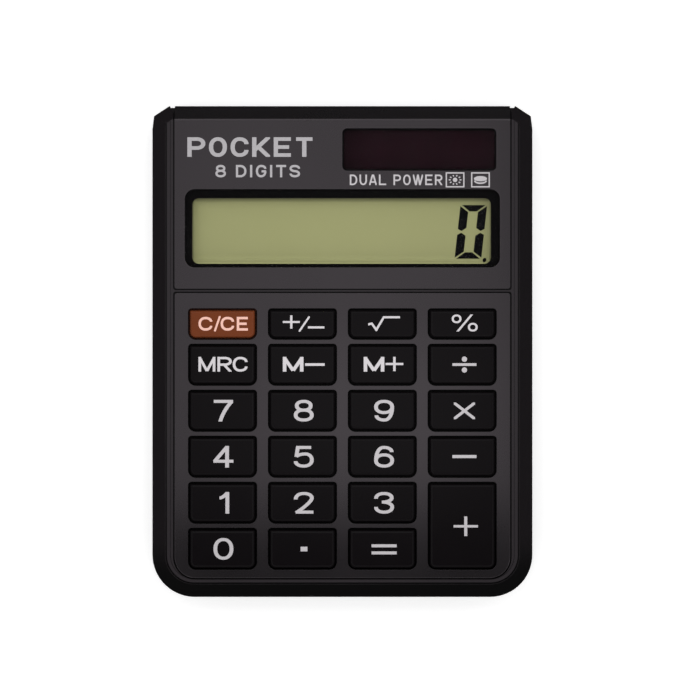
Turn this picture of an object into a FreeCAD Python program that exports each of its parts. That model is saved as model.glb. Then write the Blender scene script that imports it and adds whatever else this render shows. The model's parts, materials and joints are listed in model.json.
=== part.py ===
"""Pocket calculator with solar and button-cell power, modelled piece by piece as it comes apart on a bench.

Millimetres, +Z up. The calculator lies on its back with the keys upwards: +X is the user's right and +Y
points to the display end. The origin is the centre of its footprint, on the surface that it rests on.

Two black half shells close on each other at a seam and are held by six screws from the back. Two thin
grey face plates are inlaid in the front shell, with a hair-thin rib between them. The display plate folds
over the sloping end. Twenty-three hard key caps hang by their flanges under the front shell and stand on
the domes of one silicone sheet. Pressed, a dome gives way and its carbon pill bridges a pair of contacts
on the main board. The display, the solar cell and the button cell sit in the display end.
"""
import FreeCAD
import Part
import os
from math import hypot, pi, sqrt, tan

V = FreeCAD.Vector

# ---- overall body, seen from above
BODY_WIDTH = 72.0
BODY_LENGTH = 93.0
LOWER_CORNER_R = 8.0
EAR_CUT_X = 2.9          # the chamfer across each display-end corner
EAR_CUT_Y = 1.9
EAR_LEAD_X = 0.3         # the sides draw in a little before the chamfer
EAR_LEAD_Y = 2.5
WALL = 1.5

# ---- heights of the shells
FOOT_HEIGHT = 0.4
FLOOR = 1.4
REAR_BEVEL_INSET = 1.6
REAR_BEVEL_HEIGHT = 2.0
SEAM_Z = 5.0
SHOULDER_Z = 7.4         # where the upright wall turns into the sloping shoulder
SHOULDER_INSET = 2.6
RIM_Z = 10.8
SKIN = 1.4               # front shell under the face plates
SHOULDER_SOFT_R = 0.9
REAR_SOFT_R = 0.8

# ---- seam between the shells
LIP_HEIGHT = 0.8
LIP_CLEARANCE = 0.1
LIP_INSET = 0.85
SEAM_LINE = 0.22

# ---- face plates
PLATE_T = 0.9
PLATE_PROUD = 0.2
PLATE_GAP = 0.27
RECESS_SIDE = 4.0        # from the body's side to the edge of the plate recess
RECESS_LOWER = 3.4       # the same at the key end
RECESS_CORNER_R = 4.2
RIB_WIDTH = 0.27
RIB_FROM_TOP = 35.03     # centre of the rib, from the display end
PLATE_CORNER_R = 0.5
PLATE_EDGE_R = 0.12
FOLD_R = 0.8
FOLD_LOW_Z = 8.3         # lower edge of the display plate's fold
FOLD_T = 0.7

# ---- lines on the rim, and the notches in the display end
RIM_GROOVE_INSET = 2.55
RIM_GROOVE_WIDTH = 0.3
RIM_GROOVE_DEPTH = 0.45
HAIRLINE_INSET = 3.42
HAIRLINE_WIDTH = 0.15
HAIRLINE_DEPTH = 0.12
END_NOTCH_WIDTH = 0.95
END_NOTCH_DEPTH = 0.35

# ---- display
DISPLAY_WIDTH = 59.6     # opening in the plate
DISPLAY_HEIGHT = 14.8
DISPLAY_R = 1.9
DISPLAY_FROM_TOP = 23.2
APERTURE_WIDTH = 56.5    # opening in the front shell, through which the glass is seen
APERTURE_HEIGHT = 12.4
APERTURE_R = 0.9
APERTURE_DX = -0.15
APERTURE_DY = -0.5
WINDOW_FIT = 0.1
WINDOW_SUNK = 0.12
WINDOW_EDGE_R = 0.1
GLASS_WIDTH = 59.4
GLASS_T = 0.6
POLARISER_T = 0.2
GLASS_MARGIN = 2.2       # glass beyond the aperture, at the display end
LEDGE = 2.5              # bare contact strip of the front glass
LEDGE_GAP = 0.6          # from the ledge to the aperture
PART_GAP = 0.05          # between stacked pieces that only touch
FRAME_FIT = 0.1
FRAME_WALL = 0.95
FRAME_LEDGE = 0.9
FRAME_LEDGE_T = 1.0
FRAME_SUPPORTS_X = (-6.0, 12.0)
FRAME_SUPPORT_LENGTH = 3.0
FRAME_SUPPORT_WIDTH = 1.0
ZEBRA_WIDTH = 54.0
ZEBRA_T = 1.8

# ---- solar cell
SOLAR_WIDTH = 29.1       # opening in the plate
SOLAR_HEIGHT = 8.0
SOLAR_FROM_DISPLAY_EDGE = 0.7
SOLAR_R = 0.9
SOLAR_FROM_TOP = 8.3
SOLAR_STEP = 0.3         # the shell's opening is this much smaller all round
SOLAR_MARGIN = 0.65      # cell beyond the shell's opening
SOLAR_CELL_T = 1.1
SOLAR_FOAM_WIDTH = 22.0
SOLAR_FOAM_HEIGHT = 6.0
SOLAR_FOAM_T = 2.6
SOLAR_FOAM_R = 0.5

# ---- keys
KEY_OPENING_WIDTH = 12.9
KEY_OPENING_HEIGHT = 7.8
TOP_ROW_HEIGHT = 5.8
COLUMN_WEB = 2.2         # plate left between two columns
ROW_WEB = 0.9            # plate left between two rows
LAST_ROW_FROM_END = 9.2  # centre of the last row, from the key end
KEY_GAP = 0.35
KEY_HIGH_R = 0.6
KEY_LOW_R = 1.4
KEY_PROUD = 1.1
KEY_TOP_R = 0.55
KEY_TRAVEL = 1.0
KEY_WALL = 1.1
KEY_ROOF = 1.2
KEY_HOLLOW_R = 0.4
FLANGE_X = 0.4
FLANGE_Y = 0.25
FLANGE_T = 0.9
FLANGE_PLAY = 0.1
PLUNGER_R = 1.4

# ---- silicone sheet, contacts and board
SHEET_T = 0.7
SHEET_SHORT = 0.1        # sheet inside the key field at the sides
SHEET_PAST_LOW = 1.2
SHEET_PAST_HIGH = 1.0
SHEET_LOW_R = 2.0
SHEET_HIGH_R = 1.0
DOME_R = 3.2
DOME_TOP_R = 2.3
DOME_WALL = 0.4
DOME_RISE_OVER_TRAVEL = 1.05
PILL_R = 1.5
PILL_T = 0.5
CONTACT_R = 2.2
CONTACT_T = 0.05
CONTACT_SPLIT = 0.5
BOARD_T = 1.2
BOARD_SIDE = 0.2         # board beyond the key openings
BOARD_END = 1.7
BOARD_LOW_R = 3.0
BOARD_HIGH_R = 0.8
PEG_R = 0.55
PEG_PLAY = 0.12
PEG_HEAD_R = 1.0
PEG_HEAD_T = 0.5
CHIP_R = 4.2
CHIP_HEIGHT = 1.2
RESISTOR = (2.0, 1.25, 0.7)
CAPACITOR = (3.2, 1.6, 1.1)
SMD_PLACES = ((-9.0, 4.8, RESISTOR), (-9.0, 2.4, RESISTOR), (-9.0, 0.0, RESISTOR),
              (9.0, 3.0, CAPACITOR), (9.0, 0.0, CAPACITOR))

# ---- button cell, its pocket and the door
CELL_R = 5.8
CELL_T = 3.05
CELL_CAP_R = 4.7
CELL_CAP_T = 0.3
CELL_X = -20.0
CELL_EDGE_R = 0.4
CELL_CAP_EDGE_R = 0.15
CELL_FROM_DOOR = 0.1
POCKET_PLAY = 0.35
POCKET_WALL = 0.9
POCKET_FROM_WALL = 0.7
POCKET_OVER_CELL = 0.35
DOOR_T = 1.0
DOOR_FIT = 0.15
DOOR_MARGIN = 1.1        # door beyond the cell
DOOR_SCREW_GAP = 2.6     # from the pocket's bore to the door screw
DOOR_CORNER_R = 1.2
DOOR_CHAMFER = 0.12
DOOR_PAST_SCREW = 1.1
TONGUE_WIDTH = 2.4
TONGUE_REACH = 0.8
TONGUE_T = 0.45
CONTACT_STRIP_T = 0.2
CONTACT_STRIP_WIDTH = 3.0
CONTACT_TAIL = 2.4
CONTACT_PAST_CENTRE = 1.8
CONTACT_PAST_POCKET = 0.6
DIMPLE_LOW_R = 0.6
DIMPLE_HIGH_R = 1.1

# ---- screws
SCREW_R = 0.85
SCREW_HEAD_R = 1.5
SCREW_HEAD_T = 0.9
SCREW_LENGTH = 5.0
SCREW_PLAY = 0.04
HEAD_PLAY = 0.2
HEAD_SUNK = 0.15
DOOR_HEAD_SUNK = 0.1
HEAD_EDGE_SHARE = 0.35
CROSS_REACH_SHARE = 0.62
CROSS_HALF_SHARE = 0.16
CROSS_LEFT_SHARE = 0.45  # head left above the cross
BOSS_R = 1.8
REAR_BOSS_R = 2.5
REAR_BOSS_Z = 2.6
BOSS_FROM_SIDE = 1.3     # inner wall to boss, along the sides
BOSS_FROM_CORNER = 0.35  # inner wall to boss, in the round corners
PILOT_PAST_TIP = 0.4
TOP_BOSS_FROM_TOP = 7.6
MIDDLE_BOSS_FROM_TOP = 35.9
DOOR_SCREW_R = 0.7
DOOR_SCREW_HEAD_R = 1.3
DOOR_SCREW_HEAD_T = 0.5
DOOR_SCREW_LENGTH = 2.7

# ---- feet, back panel and wires
FOOT_R = 2.6
FOOT_CHAMFER = 0.25
FOOT_INSET_X = 11.0
FOOT_INSET_Y = 8.0
FOOT_FROM_DOOR = 1.5      # the feet at the display end stand clear of the cell door
PANEL_WIDTH = 44.0
PANEL_HEIGHT = 22.0
PANEL_DEPTH = 0.2
PANEL_DY = -8.0
PANEL_R = 1.5
WIRE_D = 0.9
WIRE_Z = 2.9
WIRE_FROM_BOARD_SIDE = 4.5
SOLDER_R = 0.95
SOLDER_TIP_R = 0.5
SOLDER_T = 0.35

# ---- derived places
HALF_W = BODY_WIDTH / 2
HALF_L = BODY_LENGTH / 2
FAR = 20.0               # how far open-ended tools run past the body
OVER = 1.0               # how far a cut overshoots the faces it goes through
ROOT = 0.5               # how deep a boss or post is rooted in the wall that carries it
BACK_Z = FOOT_HEIGHT
FLOOR_Z = BACK_Z + FLOOR
PLATE_TOP_Z = RIM_Z + PLATE_PROUD
RECESS_Z = PLATE_TOP_Z - PLATE_T
CEILING_Z = RECESS_Z - SKIN
PLATE_HALF = HALF_W - RECESS_SIDE - PLATE_GAP
RIB_Y = HALF_L - RIB_FROM_TOP
DISPLAY_PLATE_LOW = RIB_Y + RIB_WIDTH / 2 + PLATE_GAP
KEYPAD_PLATE_HIGH = RIB_Y - RIB_WIDTH / 2 - PLATE_GAP
KEYPAD_PLATE_LOW = -HALF_L + RECESS_LOWER + PLATE_GAP

DISPLAY_Y = HALF_L - DISPLAY_FROM_TOP
APERTURE_X = APERTURE_DX
APERTURE_Y = DISPLAY_Y + APERTURE_DY
GLASS_HIGH_Y = APERTURE_Y + APERTURE_HEIGHT / 2 + GLASS_MARGIN
LEDGE_HIGH_Y = APERTURE_Y - APERTURE_HEIGHT / 2 - LEDGE_GAP
GLASS_LOW_Y = LEDGE_HIGH_Y - LEDGE
POLARISER_Z = CEILING_Z - PART_GAP - POLARISER_T
FRONT_GLASS_Z = POLARISER_Z - GLASS_T
REAR_GLASS_Z = FRONT_GLASS_Z - GLASS_T
REFLECTOR_Z = REAR_GLASS_Z - POLARISER_T
FRAME_LOW_Z = REFLECTOR_Z - PART_GAP - FRAME_LEDGE_T

SOLAR_X = DISPLAY_WIDTH / 2 - SOLAR_FROM_DISPLAY_EDGE - SOLAR_WIDTH / 2
SOLAR_Y = HALF_L - SOLAR_FROM_TOP
SOLAR_CELL_Z = CEILING_Z - PART_GAP - SOLAR_CELL_T
SOLAR_CELL_W = SOLAR_WIDTH - 2 * SOLAR_STEP + 2 * SOLAR_MARGIN
SOLAR_CELL_H = SOLAR_HEIGHT - 2 * SOLAR_STEP + 2 * SOLAR_MARGIN

FLANGE_TOP_Z = CEILING_Z - FLANGE_PLAY
FLANGE_LOW_Z = FLANGE_TOP_Z - FLANGE_T
DOME_TOP_Z = FLANGE_LOW_Z - PART_GAP
SHEET_TOP_Z = DOME_TOP_Z - KEY_TRAVEL - DOME_RISE_OVER_TRAVEL
BOARD_TOP_Z = SHEET_TOP_Z - SHEET_T
BOARD_LOW_Z = BOARD_TOP_Z - BOARD_T
PILL_Z = BOARD_TOP_Z + CONTACT_T + KEY_TRAVEL + PART_GAP
KEY_TOP_Z = PLATE_TOP_Z + KEY_PROUD
COLUMN_PITCH = KEY_OPENING_WIDTH + COLUMN_WEB
ROW_PITCH = KEY_OPENING_HEIGHT + ROW_WEB
LAST_ROW_Y = -HALF_L + LAST_ROW_FROM_END
FIELD_HALF_W = 1.5 * COLUMN_PITCH + KEY_OPENING_WIDTH / 2
FIELD_LOW_Y = LAST_ROW_Y - KEY_OPENING_HEIGHT / 2
TOP_ROW_Y = LAST_ROW_Y + 4 * ROW_PITCH + KEY_OPENING_HEIGHT / 2 + ROW_WEB + TOP_ROW_HEIGHT / 2
FIELD_HIGH_Y = TOP_ROW_Y + TOP_ROW_HEIGHT / 2
CHIP_X = COLUMN_PITCH / 2
CHIP_Y = TOP_ROW_Y
BOARD_HALF_W = max(FIELD_HALF_W, ZEBRA_WIDTH / 2) + BOARD_SIDE
BOARD_HIGH_Y = LEDGE_HIGH_Y + LEDGE_GAP
BOARD_LOW_Y = FIELD_LOW_Y - BOARD_END

POCKET_R = CELL_R + POCKET_PLAY
CELL_Y = HALF_L - WALL - POCKET_FROM_WALL - POCKET_WALL - POCKET_R
CELL_Z = BACK_Z + DOOR_T + CELL_FROM_DOOR
POCKET_TOP_Z = CELL_Z + CELL_T + POCKET_OVER_CELL
STRIP_Z = POCKET_TOP_Z + PART_GAP / 2
DOOR_SCREW_Y = CELL_Y - POCKET_R - DOOR_SCREW_GAP
DOOR_LOW_Y = DOOR_SCREW_Y - DOOR_SCREW_HEAD_R - DOOR_PAST_SCREW
DOOR_HIGH_Y = CELL_Y + CELL_R + DOOR_MARGIN
FOOT_HIGH_Y = DOOR_LOW_Y - FOOT_FROM_DOOR - FOOT_R
DOOR_HALF_W = CELL_R + DOOR_MARGIN
TONGUES_X = [CELL_X + side * DOOR_HALF_W / 2 for side in (-1, 1)]
DOOR_SCREW_SEAT_Z = BACK_Z + DOOR_SCREW_HEAD_T
DOOR_PILOT_Z = DOOR_SCREW_SEAT_Z + DOOR_SCREW_LENGTH + PILOT_PAST_TIP
SCREW_SEAT_Z = BACK_Z + HEAD_SUNK + SCREW_HEAD_T
PILOT_Z = SCREW_SEAT_Z + SCREW_LENGTH + PILOT_PAST_TIP
SIDE_BOSS_X = HALF_W - WALL - BOSS_FROM_SIDE - BOSS_R
CORNER_BOSS_REACH = (LOWER_CORNER_R - WALL - BOSS_FROM_CORNER - BOSS_R) / sqrt(2)

COLUMNS_X = [(c - 1.5) * COLUMN_PITCH for c in range(4)]
ROWS_Y = [TOP_ROW_Y] + [LAST_ROW_Y + (5 - r) * ROW_PITCH for r in range(1, 6)]
KEY_NAMES = [
    ["key_clear", "key_sign", "key_root", "key_percent"],
    ["key_memory_recall", "key_memory_minus", "key_memory_plus", "key_divide"],
    ["key_7", "key_8", "key_9", "key_multiply"],
    ["key_4", "key_5", "key_6", "key_minus"],
    ["key_1", "key_2", "key_3", "key_plus"],
    ["key_0", "key_point", "key_equals"],
]
TALL_KEY = "key_plus"    # spans the last two rows


def key_places():
    """Every key as (name, centre x, centre y, height of its opening)."""
    places = []
    for row, names in enumerate(KEY_NAMES):
        for column, name in enumerate(names):
            height = TOP_ROW_HEIGHT if row == 0 else KEY_OPENING_HEIGHT
            y = ROWS_Y[row]
            if name == TALL_KEY:
                height = KEY_OPENING_HEIGHT + ROW_PITCH
                y -= ROW_PITCH / 2
            places.append((name, COLUMNS_X[column], y, height))
    return places


KEYS = key_places()
SCREW_PLACES = [
    (side * x, y)
    for side in (-1, 1)
    for x, y in (
        (SIDE_BOSS_X, HALF_L - TOP_BOSS_FROM_TOP),
        (SIDE_BOSS_X, HALF_L - MIDDLE_BOSS_FROM_TOP),
        (HALF_W - LOWER_CORNER_R + CORNER_BOSS_REACH, LOWER_CORNER_R - HALF_L - CORNER_BOSS_REACH),
    )
]
PEG_PLACES = [
    (x, y)
    for x in (-COLUMN_PITCH, 0.0, COLUMN_PITCH)
    for y in (TOP_ROW_Y - TOP_ROW_HEIGHT / 2 - ROW_WEB / 2, (ROWS_Y[3] + ROWS_Y[4]) / 2)
]


# ---------------------------------------------------------------- tools
def box(x0, x1, y0, y1, z0, z1):
    """A plain block between two corners."""
    return Part.makeBox(x1 - x0, y1 - y0, z1 - z0, V(x0, y0, z0))


def disc(x, y, r, z0, z1):
    """An upright cylinder."""
    return Part.makeCylinder(r, z1 - z0, V(x, y, z0))


def cone(x, y, r0, r1, z0, z1):
    """An upright cone frustum."""
    return Part.makeCone(r0, r1, z1 - z0, V(x, y, z0))


def line(a, b):
    """A straight edge."""
    return Part.LineSegment(a, b).toShape()


def corner_arc(centre, r, start, end):
    """A quarter arc round centre, from one of its axis points to the next."""
    middle = centre + (start + end - centre * 2).normalize() * r
    return Part.Arc(start, middle, end).toShape()


def rounded_wire(x0, x1, y0, y1, r_low, r_high, z):
    """A rectangle with its own radius on the two low-Y corners and on the two high-Y corners."""
    corners = [(x1, y0, r_low, -1, 1), (x1, y1, r_high, -1, -1), (x0, y1, r_high, 1, -1), (x0, y0, r_low, 1, 1)]
    edges = []
    exits = []
    for index, (x, y, r, dx, dy) in enumerate(corners):
        along_x = V(x + dx * r, y, z)
        along_y = V(x, y + dy * r, z)
        start, end = (along_x, along_y) if index % 2 == 0 else (along_y, along_x)
        exits.append((start, end))
        if r > 0:
            edges.append(corner_arc(V(x + dx * r, y + dy * r, z), r, start, end))
    for index in range(4):
        edges.append(line(exits[index][1], exits[(index + 1) % 4][0]))
    return Part.Wire(Part.__sortEdges__(edges))


def rounded_prism(x0, x1, y0, y1, r_low, r_high, z0, z1):
    """The same rectangle as a solid between two heights."""
    return Part.Face(rounded_wire(x0, x1, y0, y1, r_low, r_high, z0)).extrude(V(0, 0, z1 - z0))


def centred_prism(x, y, width, height, r, z0, z1):
    """A rounded rectangle by its centre and size, as a solid."""
    return rounded_prism(x - width / 2, x + width / 2, y - height / 2, y + height / 2, r, r, z0, z1)


def inset_corner(before, corner, after, inset):
    """Where a corner of an anticlockwise outline goes when its two edges move inwards."""
    first, second = (corner - before).normalize(), (after - corner).normalize()
    normals = V(-first.y, first.x, 0) + V(-second.y, second.x, 0)
    return corner + normals * (2 * inset / normals.dot(normals))


def outline(inset, z):
    """The body's outline moved inwards: round corners at the key end, cut corners at the display end."""
    half, low, r = HALF_W - inset, inset - HALF_L, LOWER_CORNER_R - inset
    side = [
        V(HALF_W, -HALF_L, z), V(HALF_W, HALF_L - EAR_CUT_Y - EAR_LEAD_Y, z),
        V(HALF_W - EAR_LEAD_X, HALF_L - EAR_CUT_Y, z), V(HALF_W - EAR_LEAD_X - EAR_CUT_X, HALF_L, z),
        V(-HALF_W, HALF_L, z),
    ]
    right = [inset_corner(*side[index:index + 3], inset) for index in range(3)]
    left = [V(-p.x, p.y, z) for p in reversed(right)]
    points = [V(half, low + r, z)] + right + left + [V(-half, low + r, z)]
    edges = [corner_arc(V(half - r, low + r, z), r, V(half - r, low, z), points[0])]
    edges += [line(a, b) for a, b in zip(points, points[1:])]
    edges.append(corner_arc(V(r - half, low + r, z), r, points[-1], V(r - half, low, z)))
    edges.append(line(V(r - half, low, z), V(half - r, low, z)))
    return Part.Wire(edges)


def body_loft(*sections):
    """A solid with straight sides through outlines given as (inset, height)."""
    return Part.makeLoft([outline(inset, z) for inset, z in sections], True, True)


def outline_ring(inset_out, inset_in, z0, z1):
    """The band between two insets of the outline."""
    outer = body_loft((inset_out, z0), (inset_out, z1))
    return outer.cut(body_loft((inset_in, z0 - OVER), (inset_in, z1 + OVER)))


def open_band(inset, width, z0, z1):
    """A band along the two sides and the key end, open past the display end."""
    outer = rounded_prism(inset - HALF_W, HALF_W - inset, inset - HALF_L, HALF_L + FAR,
                          LOWER_CORNER_R - inset, 0, z0, z1)
    inner_inset = inset + width
    inner = rounded_prism(inner_inset - HALF_W, HALF_W - inner_inset, inner_inset - HALF_L, HALF_L + 2 * FAR,
                          LOWER_CORNER_R - inner_inset, 0, z0 - OVER, z1 + OVER)
    return outer.cut(inner)


def edges_at(shape, z):
    """The edges that lie flat at a height."""
    return [e for e in shape.Edges if abs(e.BoundBox.ZMin - z) < 1e-4 and abs(e.BoundBox.ZMax - z) < 1e-4]


def single(shape):
    """The one solid of a finished shape, with its split faces joined."""
    clean = shape.removeSplitter()
    return clean.Solids[0] if len(clean.Solids) == 1 else clean


def slope_inset(z):
    """How far in the shoulder's outer face is at a height."""
    return (z - SHOULDER_Z) * SHOULDER_INSET / (RIM_Z - SHOULDER_Z)


def tube(points, diameter):
    """A round wire along straight runs joined by tangent arcs, each as large as its two runs allow."""
    edges = []
    start = points[0]
    for before, corner, after in zip(points, points[1:], points[2:]):
        incoming, outgoing = (before - corner), (after - corner)
        turn = pi - incoming.getAngle(outgoing)
        reach = 0.45 * min(incoming.Length, outgoing.Length)
        radius = reach / tan(turn / 2)
        a = corner + incoming.normalize() * reach
        b = corner + outgoing.normalize() * reach
        inward = (a + b - corner * 2).normalize()
        middle = corner + inward * (hypot(radius, reach) - radius)
        edges += [line(start, a), Part.Arc(a, middle, b).toShape()]
        start = b
    edges.append(line(start, points[-1]))
    path = Part.Wire(edges)
    ring = Part.Wire(Part.makeCircle(diameter / 2, points[0], points[1] - points[0]))
    return path.makePipeShell([ring], True, False)


# ---------------------------------------------------------------- shells
def key_opening(x, y, height, grow, z0, z1):
    """The prism of a key's opening, grown or shrunk all round: tight corners above, wide ones below."""
    half_w = KEY_OPENING_WIDTH / 2 + grow
    half_h = height / 2 + grow
    return rounded_prism(x - half_w, x + half_w, y - half_h, y + half_h,
                         KEY_LOW_R + grow, KEY_HIGH_R + grow, z0, z1)


def inner_slope_z(inset, thickness):
    """The height where the inside of the shoulder, a wall's thickness in, has this inset."""
    lean = SHOULDER_INSET / (RIM_Z - SHOULDER_Z)
    return SHOULDER_Z + (inset - thickness * sqrt(1 + lean * lean)) / lean


def boss_room():
    """The room that the screw bosses take up beside other pieces, one upright cylinder each."""
    return [disc(x, y, BOSS_R + PART_GAP, 0, RIM_Z) for x, y in SCREW_PLACES]


def end_notches():
    """The upright notches in the display end, one beside each edge of the display plate."""
    notches = []
    for side in (-1, 1):
        x0, x1 = sorted((side * PLATE_HALF, side * (PLATE_HALF + END_NOTCH_WIDTH)))
        notches.append(box(x0, x1, HALF_L - END_NOTCH_DEPTH, HALF_L + OVER, -OVER, RIM_Z + OVER))
    return notches


def display_plate_seat():
    """The body under the display plate: the skin, and the sloping end under the fold."""
    fold_low = FOLD_LOW_Z - OVER
    return body_loft((slope_inset(fold_low) + FOLD_T, fold_low), (slope_inset(RECESS_Z) + FOLD_T, RECESS_Z))


def front_case():
    """The front shell: sloping shoulders, two plate recesses, windows, key openings, bosses and pegs."""
    shell = body_loft((0, SEAM_Z), (0, SHOULDER_Z), (SHOULDER_INSET, RIM_Z))
    shell = shell.makeFillet(SHOULDER_SOFT_R, edges_at(shell, SHOULDER_Z))
    lean = SHOULDER_INSET / (RIM_Z - SHOULDER_Z)
    ceiling_inset = slope_inset(CEILING_Z) + WALL * sqrt(1 + lean * lean)
    cavity = body_loft((WALL, SEAM_Z - OVER), (WALL, inner_slope_z(WALL, WALL)), (ceiling_inset, CEILING_Z))
    recess_half = HALF_W - RECESS_SIDE
    keypad_recess = rounded_prism(-recess_half, recess_half, -HALF_L + RECESS_LOWER, RIB_Y - RIB_WIDTH / 2,
                                  RECESS_CORNER_R, PLATE_CORNER_R, RECESS_Z, RIM_Z + OVER)
    display_recess = rounded_prism(-recess_half, recess_half, RIB_Y + RIB_WIDTH / 2, HALF_L + FAR,
                                   PLATE_CORNER_R, 0, FOLD_LOW_Z - PLATE_GAP / 2, RIM_Z + OVER)
    display_recess = display_recess.cut(display_plate_seat())
    aperture = centred_prism(APERTURE_X, APERTURE_Y, APERTURE_WIDTH, APERTURE_HEIGHT, APERTURE_R,
                             CEILING_Z - OVER, RIM_Z)
    solar = centred_prism(SOLAR_X, SOLAR_Y, SOLAR_WIDTH - 2 * SOLAR_STEP, SOLAR_HEIGHT - 2 * SOLAR_STEP,
                          SOLAR_R - SOLAR_STEP, CEILING_Z - OVER, RIM_Z)
    openings = [key_opening(x, y, h, 0, CEILING_Z - OVER, RIM_Z) for _, x, y, h in KEYS]
    groove = open_band(RIM_GROOVE_INSET, RIM_GROOVE_WIDTH, RIM_Z - RIM_GROOVE_DEPTH, RIM_Z + OVER)
    hairline = open_band(HAIRLINE_INSET, HAIRLINE_WIDTH, RIM_Z - HAIRLINE_DEPTH, RIM_Z + OVER)
    rebate = outline_ring(LIP_INSET - LIP_CLEARANCE, WALL + LIP_CLEARANCE, SEAM_Z - OVER,
                          SEAM_Z + LIP_HEIGHT + LIP_CLEARANCE)
    seam = outline_ring(-OVER, SEAM_LINE, SEAM_Z - OVER, SEAM_Z + SEAM_LINE)
    case = shell.cut([cavity, keypad_recess, display_recess, rebate])
    bosses = [disc(x, y, BOSS_R, REAR_BOSS_Z + PART_GAP, CEILING_Z + ROOT) for x, y in SCREW_PLACES]
    pegs = []
    for x, y in PEG_PLACES:
        pegs.append(disc(x, y, PEG_R, BOARD_LOW_Z - PART_GAP, CEILING_Z + ROOT))
        pegs.append(disc(x, y, PEG_HEAD_R, BOARD_LOW_Z - PART_GAP - PEG_HEAD_T, BOARD_LOW_Z - PART_GAP))
    case = case.fuse(bosses + pegs)
    pilots = [disc(x, y, SCREW_R + SCREW_PLAY, 0, PILOT_Z) for x, y in SCREW_PLACES]
    return single(case.cut([aperture, solar, groove, hairline, seam] + openings + end_notches() + pilots))


def rear_case():
    """The rear shell: bevelled tray with feet, a seam lip, screw bosses, the cell pocket and two supports."""
    tray = body_loft((REAR_BEVEL_INSET, BACK_Z), (0, BACK_Z + REAR_BEVEL_HEIGHT), (0, SEAM_Z))
    tray = tray.makeFillet(REAR_SOFT_R, edges_at(tray, BACK_Z) + edges_at(tray, BACK_Z + REAR_BEVEL_HEIGHT))
    lean = REAR_BEVEL_INSET / REAR_BEVEL_HEIGHT
    thick = WALL * sqrt(1 + lean * lean)
    floor_inset = REAR_BEVEL_INSET - lean * FLOOR + thick
    knee_z = BACK_Z + REAR_BEVEL_HEIGHT + (thick - WALL) / lean
    case = tray.cut(body_loft((floor_inset, FLOOR_Z), (WALL, knee_z), (WALL, SEAM_Z + OVER)))
    lip = outline_ring(LIP_INSET, WALL, SEAM_Z - ROOT, SEAM_Z + LIP_HEIGHT)
    feet = [disc(sx * (HALF_W - FOOT_INSET_X), y, FOOT_R, 0, BACK_Z + ROOT)
            for sx in (-1, 1) for y in (FOOT_INSET_Y - HALF_L, FOOT_HIGH_Y)]
    feet = [foot.makeChamfer(FOOT_CHAMFER, edges_at(foot, 0)) for foot in feet]
    inside = body_loft((WALL - ROOT / 2, BACK_Z + ROOT / 2), (WALL - ROOT / 2, SEAM_Z))
    bosses = [disc(x, y, REAR_BOSS_R, BACK_Z, REAR_BOSS_Z).common(inside) for x, y in SCREW_PLACES]
    pocket = disc(CELL_X, CELL_Y, POCKET_R + POCKET_WALL, FLOOR_Z - ROOT, POCKET_TOP_Z)
    door_boss = disc(CELL_X, DOOR_SCREW_Y, BOSS_R, FLOOR_Z - ROOT, DOOR_PILOT_Z + ROOT)
    foam_support = centred_prism(SOLAR_X, SOLAR_Y, SOLAR_FOAM_WIDTH, SOLAR_FOAM_HEIGHT, SOLAR_FOAM_R,
                                 FLOOR_Z - ROOT, SOLAR_CELL_Z - SOLAR_FOAM_T)
    y = GLASS_HIGH_Y + FRAME_FIT + FRAME_WALL / 2
    frame_supports = [centred_prism(x, y, FRAME_SUPPORT_LENGTH, FRAME_SUPPORT_WIDTH, 0, FLOOR_Z - ROOT,
                                    FRAME_LOW_Z - PART_GAP) for x in FRAME_SUPPORTS_X]
    case = case.fuse([lip, pocket, door_boss, foam_support] + feet + frame_supports + bosses)
    cuts = end_notches()
    for x, y in SCREW_PLACES:
        cuts.append(disc(x, y, SCREW_HEAD_R + HEAD_PLAY, -OVER, SCREW_SEAT_Z))
        cuts.append(disc(x, y, SCREW_R + HEAD_PLAY, -OVER, REAR_BOSS_Z + OVER))
    cuts.append(disc(CELL_X, CELL_Y, POCKET_R, -OVER, POCKET_TOP_Z + OVER))
    cuts.append(rounded_prism(CELL_X - DOOR_HALF_W - DOOR_FIT, CELL_X + DOOR_HALF_W + DOOR_FIT,
                              DOOR_LOW_Y - DOOR_FIT, DOOR_HIGH_Y + DOOR_FIT, DOOR_CORNER_R, DOOR_CORNER_R,
                              -OVER, BACK_Z + DOOR_T))
    for x in TONGUES_X:
        half = TONGUE_WIDTH / 2 + DOOR_FIT
        cuts.append(box(x - half, x + half, DOOR_HIGH_Y, DOOR_HIGH_Y + TONGUE_REACH + DOOR_FIT,
                        BACK_Z + DOOR_T - TONGUE_T - DOOR_FIT, BACK_Z + DOOR_T + DOOR_FIT))
    cuts.append(disc(CELL_X, DOOR_SCREW_Y, DOOR_SCREW_R + SCREW_PLAY, -OVER, DOOR_PILOT_Z))
    slot_half = CONTACT_STRIP_WIDTH / 2 + DOOR_FIT
    cuts.append(box(CELL_X - POCKET_R - POCKET_WALL - OVER, CELL_X - CELL_R, CELL_Y - slot_half,
                    CELL_Y + slot_half, FLOOR_Z, POCKET_TOP_Z + OVER))
    cuts.append(centred_prism(0, PANEL_DY, PANEL_WIDTH, PANEL_HEIGHT, PANEL_R, -OVER, BACK_Z + PANEL_DEPTH))
    return single(case.cut(cuts))


# ---------------------------------------------------------------- face plates and windows
def keypad_plate():
    """The grey plate round the keys."""
    plate = rounded_prism(-PLATE_HALF, PLATE_HALF, KEYPAD_PLATE_LOW, KEYPAD_PLATE_HIGH,
                          RECESS_CORNER_R - PLATE_GAP, PLATE_CORNER_R, RECESS_Z, PLATE_TOP_Z)
    plate = plate.cut([key_opening(x, y, h, 0, RECESS_Z - OVER, PLATE_TOP_Z + OVER) for _, x, y, h in KEYS])
    return single(plate.makeFillet(PLATE_EDGE_R, edges_at(plate, PLATE_TOP_Z)))


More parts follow.
